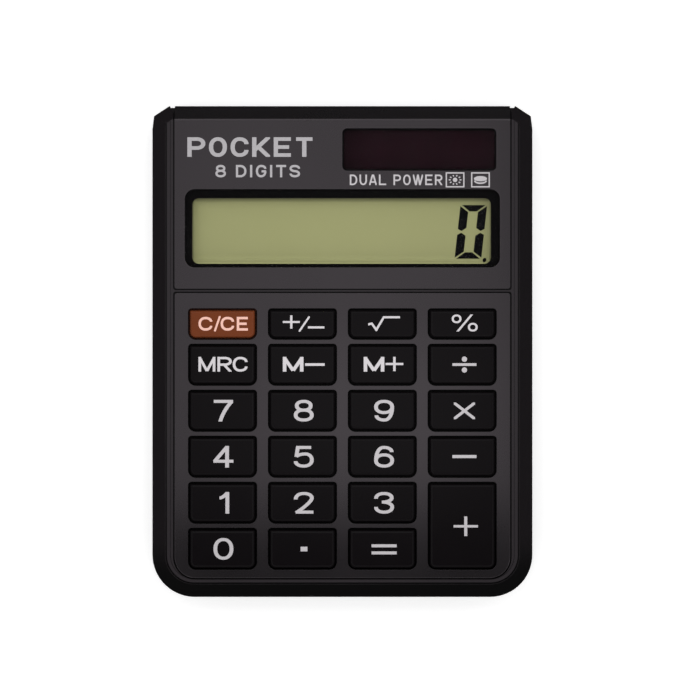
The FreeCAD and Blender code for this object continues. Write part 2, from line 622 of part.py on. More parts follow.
def display_plate():
    """The grey plate round the display and the solar cell, folded down over the sloping end."""
    body = body_loft((0, SEAM_Z), (0, SHOULDER_Z), (SHOULDER_INSET, PLATE_TOP_Z))
    sheet = rounded_prism(-PLATE_HALF, PLATE_HALF, DISPLAY_PLATE_LOW, HALF_L + FAR, PLATE_CORNER_R, 0,
                          FOLD_LOW_Z, PLATE_TOP_Z + OVER)
    plate = body.common(sheet).cut(display_plate_seat())
    fold_y = HALF_L - SHOULDER_INSET
    fold = [e for e in edges_at(plate, PLATE_TOP_Z) if e.BoundBox.YMin > fold_y - PLATE_EDGE_R]
    plate = plate.makeFillet(FOLD_R, fold)
    display = centred_prism(0, DISPLAY_Y, DISPLAY_WIDTH, DISPLAY_HEIGHT, DISPLAY_R, RECESS_Z - OVER,
                            PLATE_TOP_Z + OVER)
    solar = centred_prism(SOLAR_X, SOLAR_Y, SOLAR_WIDTH, SOLAR_HEIGHT, SOLAR_R, RECESS_Z - OVER,
                          PLATE_TOP_Z + OVER)
    plate = single(plate.cut([display, solar]))
    rims = [e for e in edges_at(plate, PLATE_TOP_Z)
            if e.BoundBox.YMin > DISPLAY_PLATE_LOW + PLATE_CORNER_R and e.BoundBox.YMax < fold_y - FOLD_R
            and max(abs(e.BoundBox.XMin), abs(e.BoundBox.XMax)) < PLATE_HALF - PLATE_EDGE_R]
    return single(plate.makeFillet(PLATE_EDGE_R, rims))


def window(x, y, width, height, r):
    """A clear lens that lies in a plate's opening, on the front shell."""
    lens = centred_prism(x, y, width - 2 * WINDOW_FIT, height - 2 * WINDOW_FIT, r - WINDOW_FIT, RECESS_Z,
                         PLATE_TOP_Z - WINDOW_SUNK)
    return lens.makeFillet(WINDOW_EDGE_R, edges_at(lens, PLATE_TOP_Z - WINDOW_SUNK))


# ---------------------------------------------------------------- display and solar cell
def glass_layer(y0, y1, z, thickness, inset):
    """One layer of the display cell."""
    half = GLASS_WIDTH / 2 - inset
    return box(APERTURE_X - half, APERTURE_X + half, y0 + inset, y1 - inset, z, z + thickness)


def lcd_frame():
    """The black frame that carries the display glass; its deep part guides the elastomer strip."""
    half = GLASS_WIDTH / 2 + FRAME_FIT
    x0, x1 = APERTURE_X - half, APERTURE_X + half
    low, high = GLASS_LOW_Y - FRAME_FIT, GLASS_HIGH_Y + FRAME_FIT
    top = CEILING_Z - PART_GAP
    frame = box(x0 - FRAME_WALL, x1 + FRAME_WALL, low - FRAME_WALL, high + FRAME_WALL, FRAME_LOW_Z, top)
    guide = box(x0 - FRAME_WALL, x1 + FRAME_WALL, low - FRAME_WALL, LEDGE_HIGH_Y + FRAME_LEDGE,
                BOARD_TOP_Z + PART_GAP, top)
    pocket = box(x0, x1, low, high, REFLECTOR_Z - PART_GAP, top + OVER)
    well = box(x0 + FRAME_LEDGE, x1 - FRAME_LEDGE, LEDGE_HIGH_Y + FRAME_LEDGE, high - FRAME_LEDGE, 0, top)
    reach = ZEBRA_WIDTH / 2 + FRAME_FIT
    slot = box(-reach, reach, zebra_y() - ZEBRA_T / 2 - FRAME_FIT, zebra_y() + ZEBRA_T / 2 + FRAME_FIT, 0, top)
    return single(frame.fuse(guide).cut([pocket, well, slot]))


def zebra_y():
    """The middle of the bare ledge, where the elastomer strip stands."""
    return (GLASS_LOW_Y + LEDGE_HIGH_Y) / 2


def zebra_strip():
    """The striped elastomer that joins the glass to the board."""
    return box(-ZEBRA_WIDTH / 2, ZEBRA_WIDTH / 2, zebra_y() - ZEBRA_T / 2, zebra_y() + ZEBRA_T / 2,
               BOARD_TOP_Z, FRONT_GLASS_Z)


def solar_cell():
    """The dark glass of the solar cell."""
    half_w, half_h = SOLAR_CELL_W / 2, SOLAR_CELL_H / 2
    glass = box(SOLAR_X - half_w, SOLAR_X + half_w, SOLAR_Y - half_h, SOLAR_Y + half_h, SOLAR_CELL_Z,
                SOLAR_CELL_Z + SOLAR_CELL_T)
    return single(glass.cut(boss_room()))


def solar_foam_pad():
    """The foam that holds the solar cell against the front shell."""
    return centred_prism(SOLAR_X, SOLAR_Y, SOLAR_FOAM_WIDTH, SOLAR_FOAM_HEIGHT, SOLAR_FOAM_R,
                         SOLAR_CELL_Z - SOLAR_FOAM_T, SOLAR_CELL_Z)


# ---------------------------------------------------------------- keys, silicone sheet and board
def key_cap(x, y, height):
    """A hollow hard cap with a retaining flange and a plunger that stands on its dome."""
    cap = key_opening(x, y, height, -KEY_GAP, FLANGE_LOW_Z, KEY_TOP_Z)
    cap = cap.makeFillet(KEY_TOP_R, edges_at(cap, KEY_TOP_Z))
    half_w = KEY_OPENING_WIDTH / 2
    flange = rounded_prism(x - half_w - FLANGE_X, x + half_w + FLANGE_X, y - height / 2 - FLANGE_Y,
                           y + height / 2 + FLANGE_Y, KEY_LOW_R, KEY_HIGH_R, FLANGE_LOW_Z, FLANGE_TOP_Z)
    flange = flange.cut(boss_room())
    inside_w = half_w - KEY_GAP - KEY_WALL
    inside_h = height / 2 - KEY_GAP - KEY_WALL
    hollow = rounded_prism(x - inside_w, x + inside_w, y - inside_h, y + inside_h, KEY_HOLLOW_R, KEY_HOLLOW_R,
                           FLANGE_LOW_Z - OVER, KEY_TOP_Z - KEY_ROOF)
    plunger = disc(x, y, PLUNGER_R, FLANGE_LOW_Z, KEY_TOP_Z - KEY_ROOF / 2)
    return single(cap.fuse(flange).cut(hollow).fuse(plunger))


def rubber_keypad():
    """The silicone sheet with one hollow dome under each key and holes for the pegs."""
    half = FIELD_HALF_W - SHEET_SHORT
    sheet = rounded_prism(-half, half, FIELD_LOW_Y - SHEET_PAST_LOW, FIELD_HIGH_Y + SHEET_PAST_HIGH,
                          SHEET_LOW_R, SHEET_HIGH_R, BOARD_TOP_Z, SHEET_TOP_Z)
    domes = [cone(x, y, DOME_R, DOME_TOP_R, SHEET_TOP_Z, DOME_TOP_Z) for _, x, y, _ in KEYS]
    share = (PILL_Z + PILL_T - SHEET_TOP_Z) / (DOME_TOP_Z - SHEET_TOP_Z)
    low_r = DOME_R - DOME_WALL
    high_r = low_r - (DOME_R - DOME_TOP_R) * share
    hollows = []
    for _, x, y, _ in KEYS:
        hollows.append(disc(x, y, low_r, BOARD_TOP_Z - OVER, SHEET_TOP_Z))
        hollows.append(cone(x, y, low_r, high_r, SHEET_TOP_Z, PILL_Z + PILL_T))
    holes = [disc(x, y, PEG_R + 2 * PEG_PLAY, 0, SHEET_TOP_Z + OVER) for x, y in PEG_PLACES]
    return single(sheet.fuse(domes).cut(hollows + holes))


def carbon_pills():
    """The conductive pill under the roof of each dome."""
    return Part.makeCompound([disc(x, y, PILL_R, PILL_Z, PILL_Z + PILL_T) for _, x, y, _ in KEYS])


def key_contacts():
    """The pair of half-round carbon contacts under each dome."""
    halves = []
    for _, x, y, _ in KEYS:
        pad = disc(x, y, CONTACT_R, BOARD_TOP_Z, BOARD_TOP_Z + CONTACT_T)
        split = box(x - CONTACT_SPLIT / 2, x + CONTACT_SPLIT / 2, y - DOME_R, y + DOME_R, 0, RIM_Z)
        halves += pad.cut(split).Solids
    return Part.makeCompound(halves)


def main_board():
    """The circuit board, held on the front shell's pegs."""
    board = rounded_prism(-BOARD_HALF_W, BOARD_HALF_W, BOARD_LOW_Y, BOARD_HIGH_Y, BOARD_LOW_R, BOARD_HIGH_R,
                          BOARD_LOW_Z, BOARD_TOP_Z)
    holes = [disc(x, y, PEG_R + PEG_PLAY, 0, RIM_Z) for x, y in PEG_PLACES]
    return single(board.cut(holes + boss_room()))


def chip_blob():
    """The epoxy blob over the bonded chip, a low dome on the underside of the board."""
    ball_r = (CHIP_R * CHIP_R + CHIP_HEIGHT * CHIP_HEIGHT) / (2 * CHIP_HEIGHT)
    ball = Part.makeSphere(ball_r, V(CHIP_X, CHIP_Y, BOARD_LOW_Z - CHIP_HEIGHT + ball_r))
    return ball.common(disc(CHIP_X, CHIP_Y, CHIP_R + OVER, FLOOR_Z, BOARD_LOW_Z)).Solids[0]


def smd_parts():
    """A few small resistors and capacitors on the underside of the board, beside the chip."""
    bodies = []
    for dx, dy, (length, width, height) in SMD_PLACES:
        bodies.append(centred_prism(CHIP_X + dx, CHIP_Y + dy, length, width, 0, BOARD_LOW_Z - height,
                                    BOARD_LOW_Z))
    return Part.makeCompound(bodies)


# ---------------------------------------------------------------- button cell and door
def battery_cell():
    """The button cell: positive can towards the door, smaller negative cap inwards."""
    can = disc(CELL_X, CELL_Y, CELL_R, CELL_Z, CELL_Z + CELL_T - CELL_CAP_T)
    can = can.makeFillet(CELL_EDGE_R, edges_at(can, CELL_Z) + edges_at(can, CELL_Z + CELL_T - CELL_CAP_T))
    cap = disc(CELL_X, CELL_Y, CELL_CAP_R, CELL_Z + CELL_T - CELL_CAP_T, CELL_Z + CELL_T)
    cap = cap.makeFillet(CELL_CAP_EDGE_R, edges_at(cap, CELL_Z + CELL_T))
    return single(can.fuse(cap))


def battery_contact_negative():
    """The strip that lies on the pocket's rim and touches the cell's cap with its dimple."""
    half = CONTACT_STRIP_WIDTH / 2
    end = CELL_X + POCKET_R + POCKET_WALL + CONTACT_PAST_POCKET
    strip = box(CELL_X - CONTACT_PAST_CENTRE, end, CELL_Y - half, CELL_Y + half, STRIP_Z,
                STRIP_Z + CONTACT_STRIP_T)
    dimple = cone(CELL_X, CELL_Y, DIMPLE_LOW_R, DIMPLE_HIGH_R, CELL_Z + CELL_T + PART_GAP / 2, STRIP_Z)
    return single(strip.fuse(dimple))


def battery_contact_positive():
    """The upright strip in the pocket's slot, against the side of the can, with a tail for its wire."""
    half = CONTACT_STRIP_WIDTH / 2
    x = CELL_X - CELL_R - PART_GAP
    top = STRIP_Z + CONTACT_STRIP_T
    blade = box(x - CONTACT_STRIP_T, x, CELL_Y - half, CELL_Y + half, FLOOR_Z + PART_GAP, top)
    tail = box(x - CONTACT_TAIL, x, CELL_Y - half, CELL_Y + half, STRIP_Z, top)
    return single(blade.fuse(tail))


def battery_door():
    """The door over the cell, hooked by two tongues at one end and screwed down at the other."""
    door = rounded_prism(CELL_X - DOOR_HALF_W, CELL_X + DOOR_HALF_W, DOOR_LOW_Y, DOOR_HIGH_Y, DOOR_CORNER_R,
                         DOOR_CORNER_R, BACK_Z, BACK_Z + DOOR_T)
    door = door.makeChamfer(DOOR_CHAMFER, edges_at(door, BACK_Z))
    half = TONGUE_WIDTH / 2
    door = door.fuse([box(x - half, x + half, DOOR_HIGH_Y - ROOT, DOOR_HIGH_Y + TONGUE_REACH,
                          BACK_Z + DOOR_T - TONGUE_T, BACK_Z + DOOR_T) for x in TONGUES_X])
    seat = disc(CELL_X, DOOR_SCREW_Y, DOOR_SCREW_HEAD_R + HEAD_PLAY, 0, DOOR_SCREW_SEAT_Z)
    hole = disc(CELL_X, DOOR_SCREW_Y, DOOR_SCREW_R + HEAD_PLAY, 0, BACK_Z + DOOR_T + OVER)
    return single(door.cut([seat, hole]))


# ---------------------------------------------------------------- screws and wires
def screw(x, y, seat_z, r, head_r, head_t, length):
    """A cross-head screw driven upwards, its head under seat_z."""
    head = disc(x, y, head_r, seat_z - head_t, seat_z)
    head = head.makeFillet(head_t * HEAD_EDGE_SHARE, edges_at(head, seat_z - head_t))
    shank = disc(x, y, r, seat_z - head_t / 2, seat_z + length - r)
    tip = cone(x, y, r, r / 3, seat_z + length - r, seat_z + length)
    reach, half = head_r * CROSS_REACH_SHARE, head_r * CROSS_HALF_SHARE
    low, deep = seat_z - head_t - OVER, seat_z - head_t * CROSS_LEFT_SHARE
    cross = box(x - reach, x + reach, y - half, y + half, low, deep).fuse(
        box(x - half, x + half, y - reach, y + reach, low, deep))
    return single(head.fuse([shank, tip]).cut(cross))


def case_screws():
    """The six screws that close the case, as separate solids."""
    return Part.makeCompound([screw(x, y, SCREW_SEAT_Z, SCREW_R, SCREW_HEAD_R, SCREW_HEAD_T, SCREW_LENGTH)
                              for x, y in SCREW_PLACES])


def battery_door_screw():
    """The small screw that locks the battery door, its head a little under the door's face."""
    return screw(CELL_X, DOOR_SCREW_Y, DOOR_SCREW_SEAT_Z, DOOR_SCREW_R, DOOR_SCREW_HEAD_R,
                 DOOR_SCREW_HEAD_T - DOOR_HEAD_SUNK, DOOR_SCREW_LENGTH)


def joint_places():
    """Where each wire is soldered to the underside of the board, by wire name."""
    y = LEDGE_HIGH_Y - LEDGE / 2
    side = BOARD_HALF_W - WIRE_FROM_BOARD_SIDE
    return {
        "battery_wire_red": V(-side, y, BOARD_LOW_Z),
        "battery_wire_black": V(-9.0, y, BOARD_LOW_Z),
        "solar_wire_black": V(3.0, y, BOARD_LOW_Z),
        "solar_wire_red": V(side, y, BOARD_LOW_Z),
    }


def solder_joints():
    """The solder at each wire's end on the board."""
    return Part.makeCompound([cone(p.x, p.y, SOLDER_TIP_R, SOLDER_R, p.z - SOLDER_T, p.z)
                              for p in joint_places().values()])


def wire_to_board(start, drop_x, drop_y, end):
    """A wire from its terminal down to the floor of the case, along it and up into its solder joint."""
    points = [
        start,
        V(drop_x, drop_y, (start.z + WIRE_Z) / 2),
        V(drop_x + (end.x - drop_x) * 0.1, drop_y - 5.0, WIRE_Z - 0.2),
        V(drop_x + (end.x - drop_x) * 0.7, end.y + 7.0, WIRE_Z - 0.3),
        V(end.x, end.y + 1.6, WIRE_Z - 0.55),
        V(end.x, end.y, end.z - SOLDER_T - PART_GAP),
    ]
    return tube(points, WIRE_D)


def wires():
    """The four lead wires by name, each soldered to its terminal and to the board."""
    ends = joint_places()
    pocket = POCKET_R + POCKET_WALL
    terminal_y = CELL_Y - 0.9
    terminal_z = STRIP_Z + CONTACT_STRIP_T + WIRE_D / 2
    solar_low = SOLAR_CELL_Z
    right_x = SOLAR_X + SOLAR_FOAM_WIDTH / 2 + 1.6
    left_x = SOLAR_X - SOLAR_FOAM_WIDTH / 2 - 1.6
    return {
        "battery_wire_red": wire_to_board(V(CELL_X - CELL_R - 1.9, terminal_y, terminal_z),
                                          CELL_X - pocket - 1.0, CELL_Y - 4.0, ends["battery_wire_red"]),
        "battery_wire_black": wire_to_board(V(CELL_X + pocket, terminal_y, terminal_z),
                                            CELL_X + pocket + 1.4, CELL_Y - 4.0, ends["battery_wire_black"]),
        "solar_wire_black": wire_to_board(V(left_x, SOLAR_Y, solar_low), left_x, SOLAR_Y - 2.2,
                                          ends["solar_wire_black"]),
        "solar_wire_red": wire_to_board(V(right_x, SOLAR_Y, solar_low), right_x, SOLAR_Y - 2.2,
                                        ends["solar_wire_red"]),
    }


# ---------------------------------------------------------------- export
def build():
    """Every node's shape by name."""
    nodes = {
        "front_case": front_case(),
        "rear_case": rear_case(),
        "keypad_plate": keypad_plate(),
        "display_plate": display_plate(),
        "display_window": window(0, DISPLAY_Y, DISPLAY_WIDTH, DISPLAY_HEIGHT, DISPLAY_R),
        "solar_window": window(SOLAR_X, SOLAR_Y, SOLAR_WIDTH, SOLAR_HEIGHT, SOLAR_R),
        "lcd_polariser": glass_layer(LEDGE_HIGH_Y - 0.5, GLASS_HIGH_Y, POLARISER_Z, POLARISER_T, 0.3),
        "lcd_front_glass": glass_layer(GLASS_LOW_Y, GLASS_HIGH_Y, FRONT_GLASS_Z, GLASS_T, 0.0),
        "lcd_rear_glass": glass_layer(LEDGE_HIGH_Y, GLASS_HIGH_Y, REAR_GLASS_Z, GLASS_T, 0.0),
        "lcd_reflector": glass_layer(LEDGE_HIGH_Y, GLASS_HIGH_Y, REFLECTOR_Z, POLARISER_T, 0.2),
        "lcd_frame": lcd_frame(),
        "zebra_strip": zebra_strip(),
        "solar_cell": solar_cell(),
        "solar_foam_pad": solar_foam_pad(),
        "rubber_keypad": rubber_keypad(),
        "carbon_pills": carbon_pills(),
        "key_contacts": key_contacts(),
        "main_board": main_board(),
        "chip_blob": chip_blob(),
        "smd_parts": smd_parts(),
        "battery_cell": battery_cell(),
        "battery_contact_negative": battery_contact_negative(),
        "battery_contact_positive": battery_contact_positive(),
        "battery_door": battery_door(),
        "battery_door_screw": battery_door_screw(),
        "case_screws": case_screws(),
        "solder_joints": solder_joints(),
    }
    nodes.update(wires())
    for name, x, y, height in KEYS:
        nodes[name] = key_cap(x, y, height)
    return nodes


def main():
    """Writes one STEP per node."""
    os.makedirs("parts", exist_ok=True)
    for name, shape in build().items():
        solids = shape.Solids
        print(f"{name}: {len(solids)} solid(s), valid {shape.isValid()}, {shape.Volume:.2f} mm3")
        shape.exportStep(f"parts/{name}.step")


main()
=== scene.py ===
"""Dresses the pocket calculator: finishes, printed legends, the display's digit and a plain studio.

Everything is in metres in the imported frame: the calculator lies on its back, +Z up, the display end at +Y.
"""
from __future__ import annotations

import json
import logging
import math
from dataclasses import dataclass, field
from enum import Enum
from typing import Any, Callable, ClassVar, Iterable, Union

import bmesh
import bpy
from mathutils import Matrix, Vector


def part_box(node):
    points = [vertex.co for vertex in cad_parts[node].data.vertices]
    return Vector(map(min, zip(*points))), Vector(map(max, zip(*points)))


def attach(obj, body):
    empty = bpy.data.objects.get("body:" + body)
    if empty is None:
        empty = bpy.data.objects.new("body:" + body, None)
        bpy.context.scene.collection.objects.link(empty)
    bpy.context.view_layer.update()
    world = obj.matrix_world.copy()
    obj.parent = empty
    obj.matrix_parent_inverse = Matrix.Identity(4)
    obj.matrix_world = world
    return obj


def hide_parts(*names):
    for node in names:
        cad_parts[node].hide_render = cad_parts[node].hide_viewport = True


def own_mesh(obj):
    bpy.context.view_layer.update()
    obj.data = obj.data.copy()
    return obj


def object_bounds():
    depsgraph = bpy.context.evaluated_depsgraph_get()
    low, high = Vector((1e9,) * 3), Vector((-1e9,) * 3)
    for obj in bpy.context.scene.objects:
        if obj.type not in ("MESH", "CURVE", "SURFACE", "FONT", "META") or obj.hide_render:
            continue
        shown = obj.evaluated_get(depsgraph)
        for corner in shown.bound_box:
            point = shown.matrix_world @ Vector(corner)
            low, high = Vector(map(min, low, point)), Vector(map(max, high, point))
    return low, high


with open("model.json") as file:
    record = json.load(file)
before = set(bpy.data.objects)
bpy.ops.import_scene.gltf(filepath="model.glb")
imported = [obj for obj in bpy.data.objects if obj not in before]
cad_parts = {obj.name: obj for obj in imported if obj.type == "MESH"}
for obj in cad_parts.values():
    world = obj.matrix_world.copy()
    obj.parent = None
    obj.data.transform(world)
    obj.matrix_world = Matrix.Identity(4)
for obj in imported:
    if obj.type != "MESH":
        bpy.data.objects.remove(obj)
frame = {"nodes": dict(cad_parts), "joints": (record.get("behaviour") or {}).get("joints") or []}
CAD_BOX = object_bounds()

MM = 0.001
WELD = 0.001 * MM
BODY = "body"
INK_T = 0.02 * MM
INK_STEP = 0.0015 * MM
BOWL_FULLNESS = 0.92
ARC_STEPS = 10
BLANK_HALF = 20 * MM
LETTER_WIDTHS = {"I": 0.3, " ": 0.35, "W": 1.35}

Colour = tuple[float, float, float]
Box = tuple[Vector, Vector]
log = logging.getLogger("calculator")


def srgb(red: int, green: int, blue: int) -> Colour:
    """Turns a display colour of 0 to 255 into linear light.

    Args:
        red: The red share.
        green: The green share.
        blue: The blue share.

    Returns:
        The linear colour.
    """
    def linear(value: float) -> float:
        """One channel in linear light."""
        return value / 12.92 if value <= 0.04045 else ((value + 0.055) / 1.055) ** 2.4
    return linear(red / 255), linear(green / 255), linear(blue / 255)


def centre_of(box: Box) -> Vector:
    """The middle of a box."""
    return (box[0] + box[1]) / 2


def ellipse(half_width: float, half_height: float, steps: int) -> list[tuple[float, float]]:
    """The points of an ellipse round the origin, anticlockwise."""
    turns = (math.tau * step / steps for step in range(steps))
    return [(math.cos(turn) * half_width, math.sin(turn) * half_height) for turn in turns]


# ------------------------------------------------------------------------------------------- shaders
class Value:
    """An output socket that takes part in arithmetic: each operation adds one Math node."""

    def __init__(self, nodes: "Nodes", socket: bpy.types.NodeSocket) -> None:
        """Wraps one output socket of a tree."""
        self.nodes = nodes
        self.socket = socket

    def math(self, operation: str, first: "Operand", second: "Operand" = 0.0) -> "Value":
        """Adds a Math node.

        Args:
            operation: The node's operation.
            first: Its first value.
            second: Its second value.

        Returns:
            The node's result.
        """
        node = self.nodes.node("ShaderNodeMath", {"operation": operation}, {0: first, 1: second})
        return Value(self.nodes, node.outputs[0])

    def __add__(self, other: "Operand") -> "Value":
        """The sum."""
        return self.math("ADD", self, other)

    __radd__ = __add__

    def __sub__(self, other: "Operand") -> "Value":
        """The difference."""
        return self.math("SUBTRACT", self, other)

    def __rsub__(self, other: "Operand") -> "Value":
        """The difference with this value taken away."""
        return self.math("SUBTRACT", other, self)

    def __mul__(self, other: "Operand") -> "Value":
        """The product."""
        return self.math("MULTIPLY", self, other)

    __rmul__ = __mul__

    def __gt__(self, other: "Operand") -> "Value":
        """One where this value is the larger, else zero."""
        return self.math("GREATER_THAN", self, other)

    def distance_to(self, other: "Operand") -> "Value":
        """The size of the difference."""
        return self.math("ABSOLUTE", self - other)

    def fraction(self) -> "Value":
        """The part after the decimal point."""
        return self.math("FRACT", self)

    def smooth(self, low: float, high: float) -> "Value":
        """Rises softly from zero at low to one at high."""
        node = self.nodes.node("ShaderNodeMapRange", {"interpolation_type": "SMOOTHSTEP"},
                               {"Value": self, "From Min": low, "From Max": high})
        return Value(self.nodes, node.outputs["Result"])


Operand = Union[float, Value]


class Nodes:
    """A node tree that is built from nothing."""

    def __init__(self, tree: bpy.types.NodeTree) -> None:
        """Empties the tree."""
        self.tree = tree
        self.tree.nodes.clear()

    def node(self, kind: str, settings: dict[str, Any] | None = None,
             inputs: dict[str | int, Any] | None = None) -> bpy.types.Node:
        """Adds any node.

        Args:
            kind: The node's type.
            settings: Its properties, set first.
            inputs: A number, a colour, a socket or a Value for each named or numbered input.

        Returns:
            The new node.
        """
        made = self.tree.nodes.new(kind)
        for key, setting in (settings or {}).items():
            setattr(made, key, setting)
        for key, value in (inputs or {}).items():
            self.feed(made.inputs[key], value)
        return made

    def feed(self, target: bpy.types.NodeSocket, value: Any) -> None:
        """Links or sets one input socket.

        Args:
            target: The input.
            value: A number, a colour, a socket or a Value.
        """
        if isinstance(value, Value):
            value = value.socket
        if isinstance(value, bpy.types.NodeSocket):
            self.tree.links.new(value, target)
        elif isinstance(value, tuple) and len(value) == 3 and target.type == "RGBA":
            target.default_value = (*value, 1.0)
        else:
            target.default_value = value

    def part(self, vector: bpy.types.NodeSocket, letter: str) -> Value:
        """One part of a vector: X, Y or Z."""
        return Value(self, self.node("ShaderNodeSeparateXYZ", inputs={0: vector}).outputs[letter])


class Shader(Nodes):
    """A material's node tree with one Principled shader."""

    def __init__(self, name: str) -> None:
        """Starts an empty tree that ends in a Principled shader.

        Args:
            name: The material's name.
        """
        self.material = bpy.data.materials.new(name)
        self.material.use_nodes = True
        super().__init__(self.material.node_tree)
        self.surface = self.node("ShaderNodeBsdfPrincipled")
        self.node("ShaderNodeOutputMaterial", inputs={"Surface": self.surface.outputs["BSDF"]})
        self.place = self.node("ShaderNodeTexCoord").outputs["Object"]

    def set(self, **inputs: Any) -> None:
        """Feeds the Principled shader, by its inputs' names with underscores for spaces."""
        for key, value in inputs.items():
            self.feed(self.surface.inputs[key.replace("_", " ")], value)

    def axis(self, letter: str) -> Value:
        """One Object coordinate, in metres."""
        return self.part(self.place, letter)

    def noise(self, size: float, detail: float = 2.0, roughness: float = 0.5) -> Value:
        """A noise of about 0 to 1.

        Args:
            size: The width of its larger features, in metres.
            detail: How many finer layers it has.
            roughness: How strong they are.

        Returns:
            The noise.
        """
        made = self.node("ShaderNodeTexNoise", inputs={"Vector": self.place, "Scale": 1 / size,
                                                       "Detail": detail, "Roughness": roughness})
        return Value(self, made.outputs["Fac"])

    def mix(self, factor: Operand, first: Any, second: Any) -> bpy.types.NodeSocket:
        """A colour between two colours.

        Args:
            factor: 0 for the first, 1 for the second.
            first: A colour or a socket.
            second: A colour or a socket.

        Returns:
            The mixed colour.
        """
        made = self.node("ShaderNodeMix", {"data_type": "RGBA"}, {"Factor": factor})
        self.feed(made.inputs[6], first)
        self.feed(made.inputs[7], second)
        return made.outputs[2]

    def shade(self, colour: Colour, factor: Operand, share: float) -> bpy.types.NodeSocket:
        """A colour that runs from darker to lighter as the factor goes from 0 to 1.

        Args:
            colour: The colour in the middle.
            factor: The factor.
            share: How much darker and lighter the ends are.

        Returns:
            The shaded colour.
        """
        dark = tuple(part * (1 - share) for part in colour)
        light = tuple(part * (1 + share) for part in colour)
        return self.mix(factor, dark, light)

    def bump(self, height: Value, depth: float) -> None:
        """Feeds Normal with a bump of a height map of 0 to 1 that stands for a depth in metres."""
        made = self.node("ShaderNodeBump", inputs={"Height": height, "Distance": depth, "Strength": 1.0})
        self.set(Normal=made.outputs["Normal"])


# ------------------------------------------------------------------------------------------- finishes
@dataclass(frozen=True)
class Finish:
    """A named finish whose material is made once."""

    name: str
    made: ClassVar[dict[str, bpy.types.Material]] = {}

    def paint(self, shader: Shader) -> None:
        """Builds the nodes."""
        raise NotImplementedError

    def material(self) -> bpy.types.Material:
        """The finish's material, made on its first use.

        Returns:
            The material.
        """
        if self.name not in Finish.made:
            shader = Shader(self.name)
            self.paint(shader)
            Finish.made[self.name] = shader.material
        return Finish.made[self.name]

    def dress(self, *pieces: bpy.types.Object) -> None:
        """Puts the finish on pieces, in place of what they had.

        Args:
            pieces: The pieces.
        """
        for piece in pieces:
            piece.data.materials.clear()
            piece.data.materials.append(self.material())


@dataclass(frozen=True)
class Moulded(Finish):
    """Moulded plastic: a fine eroded grain, a slow drift of tone and a sheen that varies a little."""

    tone: Colour = (0.02, 0.02, 0.02)
    roughness: float = 0.5
    grain: float = 0.22 * MM
    grain_depth: float = 0.004 * MM
    drift: float = 0.10
    drift_size: float = 14 * MM
    metallic: float = 0.0
    specular: float = 0.5
    coat: float = 0.0
    # Painted light: a lighter tone on the flat rim above a height, standing in for the light its flat top
    # catches.
    painted_light_rim_tone: Colour | None = None
    painted_light_rim_z: float = 10.6 * MM
    # Painted shade: the colour darkens towards the low end of Y.
    painted_shade_end: tuple[float, float] | None = None

    def paint(self, shader: Shader) -> None:
        """Grain in the bump, drift in the colour, both in the roughness.

        Painted shade can darken the colour towards the low end of Y, and a flat rim above a given height can
        take a lighter tone that is painted light.

        Args:
            shader: The material's tree.
        """
        grain = shader.noise(self.grain, 3.0, 0.6)
        drift = shader.noise(self.drift_size, 2.0)
        rough = self.roughness - 0.05 + drift * 0.06 + grain * 0.04
        mottle = drift * 0.7 + grain * 0.3
        colour = shader.shade(self.tone, mottle, self.drift)
        # Painted shade: the colour falls to a tenth towards the low end of Y.
        if self.painted_shade_end:
            near = shader.axis("Y").smooth(*self.painted_shade_end)
            colour = shader.mix(near, tuple(part * 0.1 for part in self.tone), colour)
        # Painted light: the flat rim on top gets a lighter tone than the sloped sides.
        if self.painted_light_rim_tone:
            above = shader.axis("Z").smooth(self.painted_light_rim_z, self.painted_light_rim_z + 0.1 * MM)
            colour = shader.mix(above, colour, shader.shade(self.painted_light_rim_tone, mottle, self.drift))
        shader.set(Base_Color=colour, Roughness=rough,
                   Metallic=self.metallic, Specular_IOR_Level=self.specular, Coat_Weight=self.coat,
                   Coat_Roughness=0.12)
        shader.bump(grain, self.grain_depth)


@dataclass(frozen=True)
class Print(Finish):
    """Screen-printed ink: a matt film that covers a little unevenly."""

    tone: Colour = (0.5, 0.5, 0.5)
    specular: float = 0.3

    def paint(self, shader: Shader) -> None:
        """A mottled film.

        Args:
            shader: The material's tree.
        """
        mottle = shader.noise(0.35 * MM, 3.0, 0.7)
        shader.set(Base_Color=shader.shade(self.tone, mottle, 0.14), Roughness=0.5 + mottle * 0.1,
                   Specular_IOR_Level=self.specular)
        shader.bump(shader.noise(0.12 * MM), 0.002 * MM)


@dataclass(frozen=True)
class ClearLens(Finish):
    """A clear moulded window with a coating against glare: it shows only where it mirrors at a low angle."""

    polish: float = 0.06
    body: float = 0.003
    gloss: float = 0.5
    tint: Colour = (1.0, 1.0, 1.0)

    def paint(self, shader: Shader) -> None:
        """The mirrored share grows steeply with the viewing angle, over a faint haze.

        Args:
            shader: The material's tree.
        """
        slant = Value(shader, shader.node("ShaderNodeLayerWeight", inputs={"Blend": 0.5}).outputs["Facing"])
        haze = shader.noise(6 * MM, 2.0)
        shader.set(Base_Color=self.tint, Metallic=1.0, Roughness=self.polish + haze * 0.03,
                   Alpha=slant * slant * slant * self.gloss + haze * self.body)


